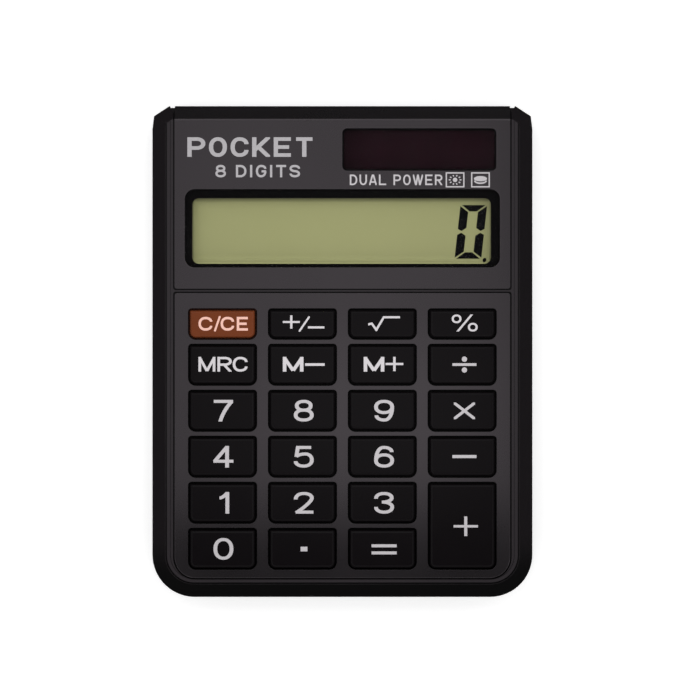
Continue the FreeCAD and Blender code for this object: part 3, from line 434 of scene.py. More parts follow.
@dataclass(frozen=True)
class LiquidCrystal(Finish):
    """The display's film: grey-green with a fine sparkle, with painted shade under three edges of the
    window's mask and painted light along the low edge.

    Its low and high are the corners of what shows, in metres.
    """

    tone: Colour = (0.3, 0.3, 0.15)
    low: tuple[float, float] = (0.0, 0.0)
    high: tuple[float, float] = (1.0, 1.0)
    # Reaches of the painted shade, the painted highlight line and the painted light, in metres.
    side_shade: float = 0.4 * MM
    top_shade: float = 0.9 * MM
    rim_light: float = 0.28 * MM
    painted_light_reach: float = 1.9 * MM

    def paint(self, shader: Shader) -> None:
        """Sparkle over the whole film, painted shade at three edges, a painted highlight line along the low
        one and painted light near it that offsets the real shadow of the window's well.

        Args:
            shader: The material's tree.
        """
        sparkle = shader.noise(0.09 * MM, 2.0, 0.7)
        cloud = shader.noise(18 * MM, 1.0)
        x, y = shader.axis("X"), shader.axis("Y")
        # Painted shade under the side and top edges of the window's mask.
        lit = ((x - self.low[0]).smooth(0.0, self.side_shade)
               * (self.high[0] - x).smooth(0.0, self.side_shade)
               * (self.high[1] - y).smooth(0.0, self.top_shade))
        # A painted highlight line along the low edge.
        line = 1.0 - (y - self.low[1]).smooth(self.rim_light * 0.5, self.rim_light)
        # Painted light near the low edge, offsetting the real shadow of the window's well.
        painted_light_lift = 1.0 - (y - self.low[1]).smooth(0.0, self.painted_light_reach)
        plain = shader.shade(self.tone, sparkle * 0.5 + cloud * 0.5, 0.06)
        painted_light_lifted = shader.mix(painted_light_lift, plain, tuple(part * 1.4 for part in self.tone))
        shaded = shader.mix(lit, tuple(part * 0.5 for part in self.tone), painted_light_lifted)
        shader.set(Base_Color=shader.mix(line, shaded, tuple(part * 2.0 for part in self.tone)),
                   Roughness=0.55 + sparkle * 0.1, Specular_IOR_Level=0.2)


@dataclass(frozen=True)
class SolarGlass(Finish):
    """The solar cell: dark wine-brown strips side by side, with hairlines between them."""

    tone: Colour = (0.02, 0.008, 0.01)
    low: float = 0.0
    high: float = 1.0
    strips: int = 4
    line: float = 0.05 * MM

    def paint(self, shader: Shader) -> None:
        """Strips by position along X, with a lighter hairline between neighbours.

        Args:
            shader: The material's tree.
        """
        pitch = (self.high - self.low) / self.strips
        place = (shader.axis("X") - self.low) * (1 / pitch)
        from_line = place.fraction().distance_to(0.5) - 0.5
        line = from_line > (-self.line / pitch)
        cloud = shader.noise(5 * MM, 3.0)
        strip = shader.shade(self.tone, cloud, 0.25)
        shader.set(Base_Color=shader.mix(line, strip, tuple(part * 1.9 for part in self.tone)),
                   Roughness=0.16 + cloud * 0.08, Specular_IOR_Level=0.03)


@dataclass(frozen=True)
class Metal(Finish):
    """Plated or bright metal with a faint directional grain."""

    tone: Colour = (0.6, 0.6, 0.6)
    roughness: float = 0.3

    def paint(self, shader: Shader) -> None:
        """Streaks across X in the roughness, clouds in the colour.

        Args:
            shader: The material's tree.
        """
        stretched = shader.node("ShaderNodeMapping", {"vector_type": "POINT"},
                                {"Vector": shader.place, "Scale": (0.15, 1.0, 1.0)})
        streaks = shader.node("ShaderNodeTexNoise", inputs={"Vector": stretched.outputs[0],
                                                            "Scale": 1 / (0.12 * MM)})
        streak = Value(shader, streaks.outputs["Fac"])
        cloud = shader.noise(1.6 * MM, 3.0)
        shader.set(Base_Color=shader.shade(self.tone, cloud, 0.14), Metallic=1.0,
                   Roughness=self.roughness - 0.06 + streak * 0.12 + cloud * 0.05)
        shader.bump(streak, 0.003 * MM)


@dataclass(frozen=True)
class Laminate(Finish):
    """Lacquered circuit board: tracks under green lacquer."""

    tone: Colour = (0.02, 0.07, 0.03)
    track: Colour = (0.05, 0.16, 0.07)

    def paint(self, shader: Shader) -> None:
        """Tracks where a brick pattern's joints run.

        Args:
            shader: The material's tree.
        """
        bricks = shader.node("ShaderNodeTexBrick", {"offset": 0.37, "squash": 1.6},
                             {"Vector": shader.place, "Scale": 1 / (9 * MM), "Mortar Size": 0.035,
                              "Mortar Smooth": 0.1, "Brick Width": 0.9, "Row Height": 0.24})
        tracks = Value(shader, bricks.outputs["Fac"])
        fibre = shader.noise(0.4 * MM, 3.0)
        ground = shader.shade(self.tone, fibre, 0.2)
        shader.set(Base_Color=shader.mix(tracks, ground, self.track), Roughness=0.32 + fibre * 0.1)
        shader.bump(tracks + fibre * 0.1, 0.03 * MM)


@dataclass(frozen=True)
class Silicone(Finish):
    """Translucent silicone rubber."""

    tone: Colour = (0.5, 0.51, 0.49)

    def paint(self, shader: Shader) -> None:
        """Milky, with a soft bloom.

        Args:
            shader: The material's tree.
        """
        cloud = shader.noise(2.5 * MM, 3.0)
        shader.set(Base_Color=shader.shade(self.tone, cloud, 0.06), Roughness=0.55 + cloud * 0.15,
                   Subsurface_Weight=0.3, Subsurface_Radius=(0.8 * MM, 0.8 * MM, 0.7 * MM))
        shader.bump(shader.noise(0.1 * MM), 0.003 * MM)


@dataclass(frozen=True)
class Striped(Finish):
    """The elastomer connector: hair-thin conducting layers between clear ones, side by side along X."""

    pitch: float = 0.18 * MM

    def paint(self, shader: Shader) -> None:
        """Stripes by position.

        Args:
            shader: The material's tree.
        """
        dark = (shader.axis("X") * (1 / self.pitch)).fraction() > 0.5
        skin = shader.noise(0.5 * MM, 2.0)
        shader.set(Base_Color=shader.mix(dark, srgb(196, 120, 128), srgb(22, 20, 20)),
                   Roughness=0.5 + skin * 0.15)


@dataclass(frozen=True)
class Foam(Finish):
    """Open-cell foam."""

    tone: Colour = (0.03, 0.03, 0.03)

    def paint(self, shader: Shader) -> None:
        """Cells in the bump, with painted shade in the colour: each cell's pit is darker.

        Args:
            shader: The material's tree.
        """
        cells = shader.node("ShaderNodeTexVoronoi", inputs={"Vector": shader.place, "Scale": 1 / (0.35 * MM)})
        depth = Value(shader, cells.outputs["Distance"])
        # Painted shade: darker in the cells' pits, where the bump sinks.
        shader.set(Base_Color=shader.shade(self.tone, depth, 0.5), Roughness=0.9 + depth * 0.05)
        shader.bump(depth, 0.15 * MM)


CASE_BLACK = Moulded("case_black_satin", tone=srgb(20, 16, 19), roughness=0.4, grain_depth=0.003 * MM,
                     # Painted light: a lighter tone on the case's flat rim and rib.
                     specular=0.19, painted_light_rim_tone=srgb(39, 35, 38),
                     # Painted shade: the case darkens towards the key end.
                     painted_shade_end=(-43 * MM, -34 * MM))
PLATE_GREY = Moulded("plate_grey_satin", tone=srgb(65, 61, 64), roughness=0.28, grain=0.16 * MM,
                     grain_depth=0.0006 * MM, drift=0.04, metallic=0.9)
KEY_BLACK = Moulded("key_black_satin", tone=srgb(9, 6, 8), roughness=0.36, grain=0.18 * MM,
                    grain_depth=0.0015 * MM, drift=0.12, drift_size=5 * MM, specular=0.08)
KEY_ORANGE = Moulded("key_orange_satin", tone=srgb(103, 49, 22), roughness=0.36, grain=0.18 * MM,
                     grain_depth=0.0015 * MM, drift=0.16, drift_size=4 * MM, specular=0.12)
FRAME_BLACK = Moulded("frame_black", tone=srgb(18, 18, 19), roughness=0.6)
EPOXY = Moulded("chip_epoxy", tone=srgb(14, 14, 15), roughness=0.14, grain=0.9 * MM,
                grain_depth=0.01 * MM, coat=0.4)
CARBON = Moulded("carbon_matt", tone=srgb(26, 26, 28), roughness=0.72, grain=0.08 * MM)
CERAMIC = Moulded("component_body", tone=srgb(128, 106, 84), roughness=0.55, grain=0.12 * MM)
WIRE_RED = Moulded("wire_red", tone=srgb(176, 26, 24), roughness=0.4, grain=0.3 * MM, coat=0.2)
WIRE_BLACK = Moulded("wire_black", tone=srgb(20, 20, 21), roughness=0.4, grain=0.3 * MM, coat=0.2)
SCREW_METAL = Metal("screw_zinc", tone=srgb(120, 121, 124), roughness=0.36)
CELL_METAL = Metal("cell_nickel", tone=srgb(206, 204, 196), roughness=0.24)
CONTACT_METAL = Metal("contact_nickel", tone=srgb(200, 194, 178), roughness=0.3)
SOLDER = Metal("solder", tone=srgb(196, 198, 200), roughness=0.22)


class Ink(Enum):
    """The inks of the printed marks."""

    WHITE = Print("ink_white", tone=srgb(200, 196, 199))
    GREY = Print("ink_grey", tone=srgb(186, 182, 185))
    SOFT_GREY = Print("ink_soft_grey", tone=srgb(168, 165, 168))
    BLUSH = Print("ink_blush", tone=srgb(231, 183, 168))
    LCD_DARK = Print("lcd_segment_dark", tone=srgb(4, 4, 5), specular=0.04)
    # Black for the display window's printed mask and for the band of painted shadow round the solar window.
    MASK_AND_SHADOW_BLACK = Print("ink_mask_and_shadow_black", tone=srgb(3, 2, 3), specular=0.04)


# ------------------------------------------------------------------------------------------- drawing
def make_piece(name: str, mesh_bm: bmesh.types.BMesh, finish: Finish, body: str,
               smooth: bool = False) -> bpy.types.Object:
    """Turns a finished bmesh into a piece that rides on a body.

    Args:
        name: The piece's name.
        mesh_bm: The mesh, in place. It is freed.
        finish: What it is made of.
        body: The body that carries it.
        smooth: True for a rounded piece.

    Returns:
        The new object.
    """
    mesh = bpy.data.meshes.new(name)
    mesh_bm.to_mesh(mesh)
    mesh_bm.free()
    for polygon in mesh.polygons:
        polygon.use_smooth = smooth
    piece = bpy.data.objects.new(name, mesh)
    bpy.context.scene.collection.objects.link(piece)
    finish.dress(piece)
    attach(piece, body)
    log.info("piece %s on %s: %d faces", name, body, len(mesh.polygons))
    return piece


GLYPHS: dict[str, tuple[str, ...]] = {
    # Each stroke is a run of x,y corners in a unit box; a star rounds a corner and @ closes the stroke.
    "0": ("@0,0* 1,0* 1,1* 0,1*",),
    "1": ("1,-.2 1,1.2", "0,.76 .55,.77* 1.1,1.1"),
    "2": ("0,.68 0,1* 1,1* 1,.52* .02,-.04", "0,0 1.1,0"),
    "3": ("0,.72 0,1* .97,1* .97,.54* .36,.54", ".36,.54 1,.54* 1,0* 0,0* 0,.28"),
    "4": (".72,-.2 .72,1.2", ".76,1.08 -.06,.22", "-.1,.26 1.1,.26"),
    "5": (".15,1 .96,1", ".15,1.1 .04,.5", ".03,.5 .18,.65* 1,.65* 1,0* 0,0* 0,.26"),
    "6": ("@0,0* 1,0* 1,.6* 0,.6*", "0,.3 0,1* .97,1* .97,.75"),
    "7": ("-.1,1 1.1,1", "1.02,.98 .5,.55* .3,-.1"),
    "8": ("@.07,.53* .93,.53* .93,1* .07,1*", "@0,0* 1,0* 1,.53* 0,.53*"),
    "9": ("@0,.4* 1,.4* 1,1* 0,1*", "1,.7 1,0* .03,0* .03,.25"),
    "A": ("-.07,-.1 .46,1.1", "1.07,-.1 .54,1.1", ".14,.26 .86,.26"),
    "C": ("1,.68 1,1* 0,1* 0,0* 1,0* 1,.32",),
    "D": ("0,-.2 0,1.2", "0,1 .35,1 1,1* 1,0* .35,0 0,0"),
    "E": ("0,-.2 0,1.2", "0,1 1.1,1", "0,.5 .97,.5", "0,0 1.1,0"),
    "G": ("1,.72 1,1* 0,1* 0,0* 1,0* 1,.48", ".55,.48 1.1,.48"),
    "I": (".5,-.2 .5,1.2",),
    "K": ("0,-.2 0,1.2", "1.08,1.14 .02,.3", ".3,.5 1.1,-.14"),
    "L": ("0,-.2 0,1.2", "0,0 1.1,0"),
    "M": ("0,-.2 0,1.2", "1,-.2 1,1.2", "-.04,1.1 .5,-.04", "1.04,1.1 .5,-.04"),
    "O": ("@0,0* 1,0* 1,1* 0,1*",),
    "P": ("0,-.2 0,1.2", "0,1 .5,1 1,1* 1,.44* .5,.44 0,.44"),
    "R": ("0,-.2 0,1.2", "0,1 .5,1 1,1* 1,.47* .5,.47 0,.47", ".42,.5 1.08,-.16"),
    "S": ("1,.74 1,1* 0,1* 0,.53* 1,.47* 1,0* 0,0* 0,.26",),
    "T": ("-.1,1 1.1,1", ".5,-.2 .5,1.2"),
    "U": ("0,1.2 0,.5 0,0* 1,0* 1,.5 1,1.2",),
    "W": ("-.06,1.1 .27,-.1", ".5,1.1 .27,-.1", ".5,1.1 .73,-.1", "1.06,1.1 .73,-.1"),
    "/": ("-.4,-.4 1.4,1.4",),
    "%": ("@0,.55* .32,.55* .32,1* 0,1*", "@.68,0* 1,0* 1,.45* .68,.45*", ".16,-.14 .84,1.14"),
    "+": ("-1,.5 2,.5", ".5,-1 .5,2"),
    "-": ("-1,.5 2,.5",),
    "=": ("-1,1 2,1", "-1,0 2,0"),
    "x": ("-.2,-.2 1.2,1.2", "-.2,1.2 1.2,-.2"),
    "root": ("-.1,.42 .1,.52", ".07,.56 .26,-.04", ".22,-.04 .5,1.04", ".46,1 1.1,1"),
}


@dataclass(frozen=True)
class Mark:
    """One glyph's place and size, in millimetres from the middle of its legend.

    The stretch makes upright strokes wider than level ones.
    """

    glyph: str
    x: float
    y: float
    width: float
    height: float
    nib: float
    stretch: float = 1.0


class Pen:
    """Draws marks as thin raised ink: each stroke is a ribbon, cut at its mark's box and thickened."""

    def __init__(self, origin: Vector) -> None:
        """Starts an empty drawing.

        Args:
            origin: The legend's middle, on the surface that is printed.
        """
        self.origin = origin
        self.bm = bmesh.new()
        self.strokes = 0

    def finish(self, name: str, ink: Ink, body: str, slot: str) -> bpy.types.Object:
        """Closes the drawing and makes it a piece.

        Args:
            name: The piece's name.
            ink: What it is printed in.
            body: The body that carries it.
            slot: Not used.

        Returns:
            The new piece.
        """
        bmesh.ops.recalc_face_normals(self.bm, faces=self.bm.faces)
        bmesh.ops.translate(self.bm, verts=self.bm.verts, vec=self.origin)
        return make_piece(name, self.bm, ink.value, body)

    def mark(self, mark: Mark) -> None:
        """Draws one glyph.

        Args:
            mark: Its place and size.
        """
        size = Vector((mark.width / mark.stretch, mark.height)) * MM
        nib = mark.nib * MM
        inner = size - Vector((nib, nib))
        place = (Matrix.Translation((mark.x * MM, mark.y * MM, 0.0))
                 @ Matrix.Diagonal((mark.stretch, 1.0, 1.0, 1.0)))
        for spec in GLYPHS[mark.glyph]:
            line, closed = self.centre_line(spec, -inner / 2, inner)
            self.stroke(line, nib, closed, (-size / 2, size / 2), place)

    def text(self, words: str, x: float, y: float, width: float, height: float, nib: float,
             gap: float = 0.28, stretch: float = 1.0) -> None:
        """Draws a line of words, evenly set.

        Args:
            words: The letters.
            x: The left end, in millimetres.
            y: The middle of the capitals.
            width: The whole length.
            height: The capitals' height.
            nib: The strokes' width.
            gap: The space between letters as a share of a letter.
            stretch: How much wider upright strokes are than level ones.
        """
        shares = [LETTER_WIDTHS.get(letter, 1.0) for letter in words]
        unit = width / (sum(shares) + gap * (len(words) - 1))
        for letter, share in zip(words, shares):
            if letter != " ":
                self.mark(Mark(letter, x + share * unit / 2, y, share * unit, height, nib, stretch))
            x += (share + gap) * unit

    @staticmethod
    def centre_line(spec: str, start: Vector, size: Vector) -> tuple[list[Vector], bool]:
        """Reads a stroke's corners and rounds the starred ones with quarter ellipses.

        Args:
            spec: The corners.
            start: Where the unit box begins.
            size: How large it is.

        Returns:
            The points of the centre line, and whether it is closed.
        """
        corners = []
        for word in spec.lstrip("@").split():
            x, y = (float(part) for part in word.rstrip("*").split(","))
            corners.append((start + Vector((x * size.x, y * size.y)), word.endswith("*")))
        line: list[Vector] = []
        for index, (corner, soft) in enumerate(corners):
            if not soft:
                line.append(corner)
                continue
            ends = []
            for other, other_soft in (corners[index - 1], corners[(index + 1) % len(corners)]):
                reach = (0.5 if other_soft else 1.0) * BOWL_FULLNESS
                ends.append(corner + (other - corner) * reach)
            for step in range(ARC_STEPS + 1):
                angle = math.pi / 2 * step / ARC_STEPS
                line.append(ends[0] + (corner - ends[0]) * math.sin(angle)
                            + (ends[1] - corner) * (1 - math.cos(angle)))
        return line, spec.startswith("@")

    def stroke(self, line: list[Vector], nib: float, closed: bool,
               limits: tuple[Vector, Vector] | None = None, place: Matrix = Matrix()) -> None:
        """Adds one ribbon, as a closed prism.

        Args:
            line: Its centre line.
            nib: Its width.
            closed: True for a ring.
            limits: The box that it is cut off at.
            place: Where it then goes.
        """
        sides = [self.offset(line, index, closed) * nib / 2 for index in range(len(line))]
        flat = self.band([point + side for point, side in zip(line, sides)],
                         [point - side for point, side in zip(line, sides)], closed)
        if limits is not None:
            for point, normal in ((limits[0], (-1, 0)), (limits[0], (0, -1)),
                                  (limits[1], (1, 0)), (limits[1], (0, 1))):
                self.cut(flat, point, normal)
        bmesh.ops.transform(flat, matrix=place, verts=flat.verts)
        self.thicken(flat)

    @staticmethod
    def band(first: list[Vector], second: list[Vector], closed: bool) -> bmesh.types.BMesh:
        """Spans a flat band between two lines: one line's edges are extruded and moved to the other.

        Args:
            first: One line's points, in metres.
            second: The other's, as many.
            closed: True for a band that ends where it starts.

        Returns:
            The flat mesh.
        """
        flat = bmesh.new()
        verts = [flat.verts.new((*point, 0.0)) for point in first]
        pairs = list(zip(verts, verts[1:]))
        if closed:
            pairs.append((verts[-1], verts[0]))
        edges = [flat.edges.new(pair) for pair in pairs]
        lookup = {vert.co.to_tuple(8): index for index, vert in enumerate(verts)}
        made = bmesh.ops.extrude_edge_only(flat, edges=edges)["geom"]
        for vert in (item for item in made if isinstance(item, bmesh.types.BMVert)):
            vert.co = (*second[lookup[vert.co.to_tuple(8)]], 0.0)
        return flat

    @staticmethod
    def cut(flat: bmesh.types.BMesh, point: Vector, normal: tuple[float, float]) -> None:
        """Cuts a flat mesh along a line and drops what lies beyond it.

        Args:
            flat: The mesh.
            point: A point of the line.
            normal: The direction that is dropped.
        """
        bmesh.ops.bisect_plane(flat, geom=flat.verts[:] + flat.edges[:] + flat.faces[:],
                               plane_co=(*point, 0.0), plane_no=(*normal, 0.0), clear_outer=True)

    def plate(self, corners: Iterable[tuple[float, float]], place: Matrix = Matrix()) -> None:
        """Adds a flat convex shape, cut out of a blank square round the legend's middle.

        Args:
            corners: Its corners in millimetres, anticlockwise.
            place: Where it then goes.
        """
        points = [Vector(corner) * MM for corner in corners]
        flat = bmesh.new()
        bmesh.ops.create_grid(flat, x_segments=1, y_segments=1, size=BLANK_HALF)
        for start, end in zip(points, points[1:] + points[:1]):
            run = end - start
            self.cut(flat, start, (run.y, -run.x))
        bmesh.ops.transform(flat, matrix=place, verts=flat.verts)
        self.thicken(flat)

    def ring(self, outer: list[Vector], inner: list[Vector]) -> None:
        """Adds a flat band between two closed outlines with the same number of points, in metres."""
        self.thicken(self.band(outer, inner, True))

    def thicken(self, flat: bmesh.types.BMesh) -> None:
        """Raises a flat shape into a prism and adds it. Later strokes stand a hair higher.

        Args:
            flat: The shape. It is freed.
        """
        made = bmesh.ops.extrude_face_region(flat, geom=flat.faces[:], use_keep_orig=True)["geom"]
        tops = [item for item in made if isinstance(item, bmesh.types.BMVert)]
        bmesh.ops.translate(flat, verts=tops, vec=(0, 0, INK_T + self.strokes * INK_STEP))
        self.strokes += 1
        mesh = bpy.data.meshes.new("stroke")
        flat.to_mesh(mesh)
        flat.free()
        self.bm.from_mesh(mesh)
        bpy.data.meshes.remove(mesh)

    @staticmethod
    def offset(line: list[Vector], index: int, closed: bool) -> Vector:
        """The mitred normal of a line at one of its points, for a half width of one.

        Args:
            line: The line.
            index: Which point.
            closed: True for a ring.

        Returns:
            The normal.
        """
        count = len(line)
        normals = []
        for a, b in ((index - 1, index), (index, index + 1)):
            if closed or (a >= 0 and b < count):
                run = (line[b % count] - line[a % count])
                if run.length > 1e-9:
                    normals.append(Vector((-run.y, run.x)).normalized())
        total = sum(normals, Vector((0.0, 0.0)))
        return total * (len(normals) / total.length_squared)

    def disc(self, x: float, y: float, radius: float) -> None:
        """Adds a dot.

        Args:
            x: Its middle, in millimetres.
            y: Its middle.
            radius: Its radius.
        """
        flat = bmesh.new()
        bmesh.ops.create_circle(flat, cap_ends=True, segments=32, radius=radius * MM,
                                matrix=Matrix.Translation((x * MM, y * MM, 0.0)))
        self.thicken(flat)

    def bar(self, x0: float, y0: float, x1: float, y1: float, nib: float) -> None:
        """Adds a straight stroke between two points, in millimetres."""
        self.stroke([Vector((x0, y0)) * MM, Vector((x1, y1)) * MM], nib * MM, False)

    @staticmethod
    def rounded(centre: Vector, size: Vector, radius: float) -> list[Vector]:
        """The points of a rectangle with round corners.

        Args:
            centre: Its middle, in metres.
            size: Its width and height.
            radius: Its corners' radius.

        Returns:
            The points, anticlockwise.
        """
        points = []
        for turn, (side_x, side_y) in enumerate(((1, 1), (-1, 1), (-1, -1), (1, -1))):
            middle = centre + Vector((side_x * (size.x / 2 - radius), side_y * (size.y / 2 - radius)))
            for step in range(ARC_STEPS + 1):
                angle = math.pi / 2 * (turn + step / ARC_STEPS)
                points.append(middle + Vector((math.cos(angle), math.sin(angle))) * radius)
        return points

    def outline(self, x: float, y: float, width: float, height: float, nib: float) -> None:
        """Adds a square-cornered frame.

        Args:
            x: Its middle, in millimetres.
            y: Its middle.
            width: Its outer width.
            height: Its outer height.
            nib: The stroke's width.
        """
        half_w, half_h = (width - nib) / 2, (height - nib) / 2
        corners = ((-half_w, -half_h), (half_w, -half_h), (half_w, half_h), (-half_w, half_h))
        self.stroke([Vector((x + dx, y + dy)) * MM for dx, dy in corners], nib * MM, True)


# ------------------------------------------------------------------------------------------- casing
@dataclass(frozen=True)
class Line:
    """A line of plain words, in millimetres from the middle of the calculator."""

    piece: str
    words: str
    left: float
    y: float
    width: float
    height: float
    nib: float
    gap: float
    stretch: float = 1.0
    ink: Ink = Ink.SOFT_GREY


@dataclass
class Casing:
    """The two shells, the face plates and their print, the cell door and the screws, in millimetres."""

    lines: tuple[Line, ...] = (
        Line("print_title", "POCKET", -29.3, 38.65, 23.8, 3.7, 0.68, 0.2, 1.2),
        Line("print_subtitle", "8 DIGITS", -24.0, 34.1, 16.0, 2.35, 0.42, 0.3),
        Line("print_power", "DUAL POWER", 1.4, 32.45, 17.5, 2.0, 0.3, 0.3, ink=Ink.GREY),
    )
    icon_y: float = 32.45
    icon_x: tuple[float, float] = (21.3, 26.1)
    icon_size: tuple[float, float] = (3.55, 2.86)
    frame_nib: float = 0.24
    sun_r: float = 0.42
    rays: int = 10
    ray_reach: tuple[float, float] = (1.2, 0.95)
    ray_start: float = 0.7
    ray_nib: float = 0.22
    lid_size: tuple[float, float] = (1.25, 0.5)
    lid_rise: float = 0.22
    rim_size: tuple[float, float] = (1.1, 0.5)
    rim_drop: float = 0.14
    rim_nib: float = 0.28
    ribs: int = 4
    rib_size: tuple[float, float, float] = (6.0, 0.45, 0.3)
    rib_inset: float = 3.2
    rib_pitch: float = 1.1
    rib_rise: float = 0.04
    rib_edge: float = 0.1

    def build(self) -> None:
        """Dresses the shells, prints the display plate and ribs the cell door."""
        nodes = frame["nodes"]
        CASE_BLACK.dress(nodes["front_case"], nodes["rear_case"], nodes["battery_door"])
        PLATE_GREY.dress(nodes["display_plate"], nodes["keypad_plate"])
        SCREW_METAL.dress(nodes["case_screws"], nodes["battery_door_screw"])
        self.print_words()
        self.print_sun()
        self.print_cell()
        self.door_ribs()

    @staticmethod
    def plate_pen() -> Pen:
        """A pen on the display plate, measured from the middle of the calculator."""
        return Pen(Vector((0.0, 0.0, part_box("display_plate")[1].z)))

    def print_words(self) -> None:
        """The lines of plain words."""
        for line in self.lines:
            pen = self.plate_pen()
            pen.text(line.words, line.left, line.y, line.width, line.height, line.nib, line.gap, line.stretch)
            pen.finish(line.piece, line.ink, BODY, "plate_grey")

    def print_sun(self) -> None:
        """A framed sun with its rays."""
        x = self.icon_x[0]
        pen = self.plate_pen()
        pen.outline(x, self.icon_y, *self.icon_size, self.frame_nib)
        pen.disc(x, self.icon_y, self.sun_r)
        for ray in map(Vector, ellipse(*self.ray_reach, self.rays)):
            start = ray * self.ray_start
            pen.bar(x + start.x, self.icon_y + start.y, x + ray.x, self.icon_y + ray.y, self.ray_nib)
        pen.finish("print_sun_icon", Ink.GREY, BODY, "plate_grey")

    def print_cell(self) -> None:
        """A framed button cell: its lid, and the near half of its rim below."""
        x = self.icon_x[1]
        pen = self.plate_pen()
        pen.outline(x, self.icon_y, *self.icon_size, self.frame_nib)
        pen.plate(ellipse(*self.lid_size, 24),
                  Matrix.Translation((x * MM, (self.icon_y + self.lid_rise) * MM, 0.0)))
        middle = Vector((x, self.icon_y - self.rim_drop))
        near_half = ellipse(*self.rim_size, 24)[12:] + ellipse(*self.rim_size, 24)[:1]
        pen.stroke([(middle + Vector(point)) * MM for point in near_half], self.rim_nib * MM, False)
        pen.finish("print_cell_icon", Ink.GREY, BODY, "plate_grey")

    def door_ribs(self) -> None:
        """Grip ribs that stand on the cell door's outer face."""
        low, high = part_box("battery_door")
        middle = (low + high) / 2
        bm = bmesh.new()
        for index in range(self.ribs):
            y = high.y - (self.rib_inset + index * self.rib_pitch) * MM
            made = bmesh.ops.create_cube(bm, size=1.0)["verts"]
            bmesh.ops.scale(bm, verts=made, vec=Vector(self.rib_size) * MM)
            bmesh.ops.translate(bm, verts=made, vec=(middle.x, y, low.z + self.rib_rise * MM))
        bmesh.ops.bevel(bm, geom=bm.edges[:], offset=self.rib_edge * MM, offset_type="OFFSET", segments=2,
                        profile=0.5, affect="EDGES", material=-1)
        make_piece("battery_door_ribs", bm, CASE_BLACK, BODY, smooth=True)


# ------------------------------------------------------------------------------------------- display
def window_mask_and_shadow_band(node: str, window_r: float, centre: Vector, size: Vector, radius: float) -> None:
    """The black band on the underside of a window, round the part that shows: the printed mask on the display
    window, a band of painted shadow on the solar window.

    Args:
        node: The window.
        window_r: Its corner radius, in millimetres.
        centre: The middle of what shows, in metres.
        size: How large that is.
        radius: Its corner radius, in millimetres.
    """
    low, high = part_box(node)
    pen = Pen(Vector((0.0, 0.0, low.z + INK_T)))
    pen.ring(Pen.rounded((low + high).xy / 2, (high - low).xy, window_r * MM),
             Pen.rounded(centre, size, radius * MM))
    pen.finish(f"{node}_mask", Ink.MASK_AND_SHADOW_BLACK, BODY, "clear_window")


@dataclass
class Display:
    """The window with its black mask, the display cell behind it and the digit that it shows.

    Lengths are in millimetres. A foot is how far an upright segment stays from the digit's middle, a mitre
    how far a segment is cut back where two meet, each on the digit's outer and inner side.
    """

    view_x: float = -0.15
    view_y: float = 22.8
    view_size: tuple[float, float] = (56.5, 12.4)
    view_r: float = 1.3
    window_r: float = 1.65
    digit_x: float = 24.32
    digit_y: float = 22.65
    digit_width: float = 5.05
    digit_height: float = 10.15
    upright: float = 1.6
    level: float = 1.2
    foot: tuple[float, float] = (0.55, 0.75)
    foot_tip: tuple[float, float] = (0.45, 0.17)
    upright_mitre: tuple[float, float] = (0.2, 1.34)
    level_mitre: tuple[float, float] = (0.3, 0.24)
    point_gap: tuple[float, float] = (0.05, 0.25)
    point_size: tuple[float, float] = (0.36, 0.4)
    slant: float = math.radians(6.3)

    def build(self) -> None:
        """Dresses the stack, masks the window and draws the digit."""
        nodes = frame["nodes"]
        centre, half = Vector((self.view_x, self.view_y)) * MM, Vector(self.view_size) * MM / 2
        film = LiquidCrystal("lcd_film", tone=srgb(146, 147, 102), low=tuple(centre - half),
                             high=tuple(centre + half))
        film.dress(nodes["lcd_polariser"], nodes["lcd_reflector"])
        ClearLens("window_clear").dress(nodes["display_window"])
        ClearLens("display_glass", polish=0.03).dress(nodes["lcd_front_glass"], nodes["lcd_rear_glass"])
        FRAME_BLACK.dress(nodes["lcd_frame"])
        Striped("zebra_stripes").dress(nodes["zebra_strip"])
        window_mask_and_shadow_band("display_window", self.window_r, centre, half * 2, self.view_r)
        self.draw_digit()

    def draw_digit(self) -> None:
        """A slanted nought of six segments and its point."""
        w, h = self.digit_width / 2, self.digit_height / 2
        inner_w, inner_h = w - self.upright, h - self.level
        upright = [(w, self.foot[0]), (w, h - self.upright_mitre[0]), (inner_w, h - self.upright_mitre[1]),
                   (inner_w, self.foot[1]), (w - self.upright * self.foot_tip[0], self.foot_tip[1])]
        outer, inner = w - self.level_mitre[0], inner_w - self.level_mitre[1]
        level = [(-outer, h), (-inner, inner_h), (inner, inner_h), (outer, h)]
        lean = Matrix.Identity(4)
        lean[0][1] = math.tan(self.slant)
        pen = Pen(Vector((self.digit_x * MM, self.digit_y * MM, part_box("lcd_polariser")[1].z)))
        for side_x in (1, -1):
            for side_y in (1, -1):
                corners = [(x * side_x, y * side_y) for x, y in upright]
                pen.plate(corners if side_x * side_y > 0 else corners[::-1], lean)
        for side_y in (1, -1):
            corners = [(x, y * side_y) for x, y in level]
            pen.plate(corners if side_y > 0 else corners[::-1], lean)
        corner = Vector((w + self.point_gap[0], -h - self.point_gap[1], 0.0)) * MM
        pen.plate(ellipse(*self.point_size, 12), Matrix.Translation(corner) @ lean)
        pen.finish("display_digit", Ink.LCD_DARK, BODY, "lcd_film")


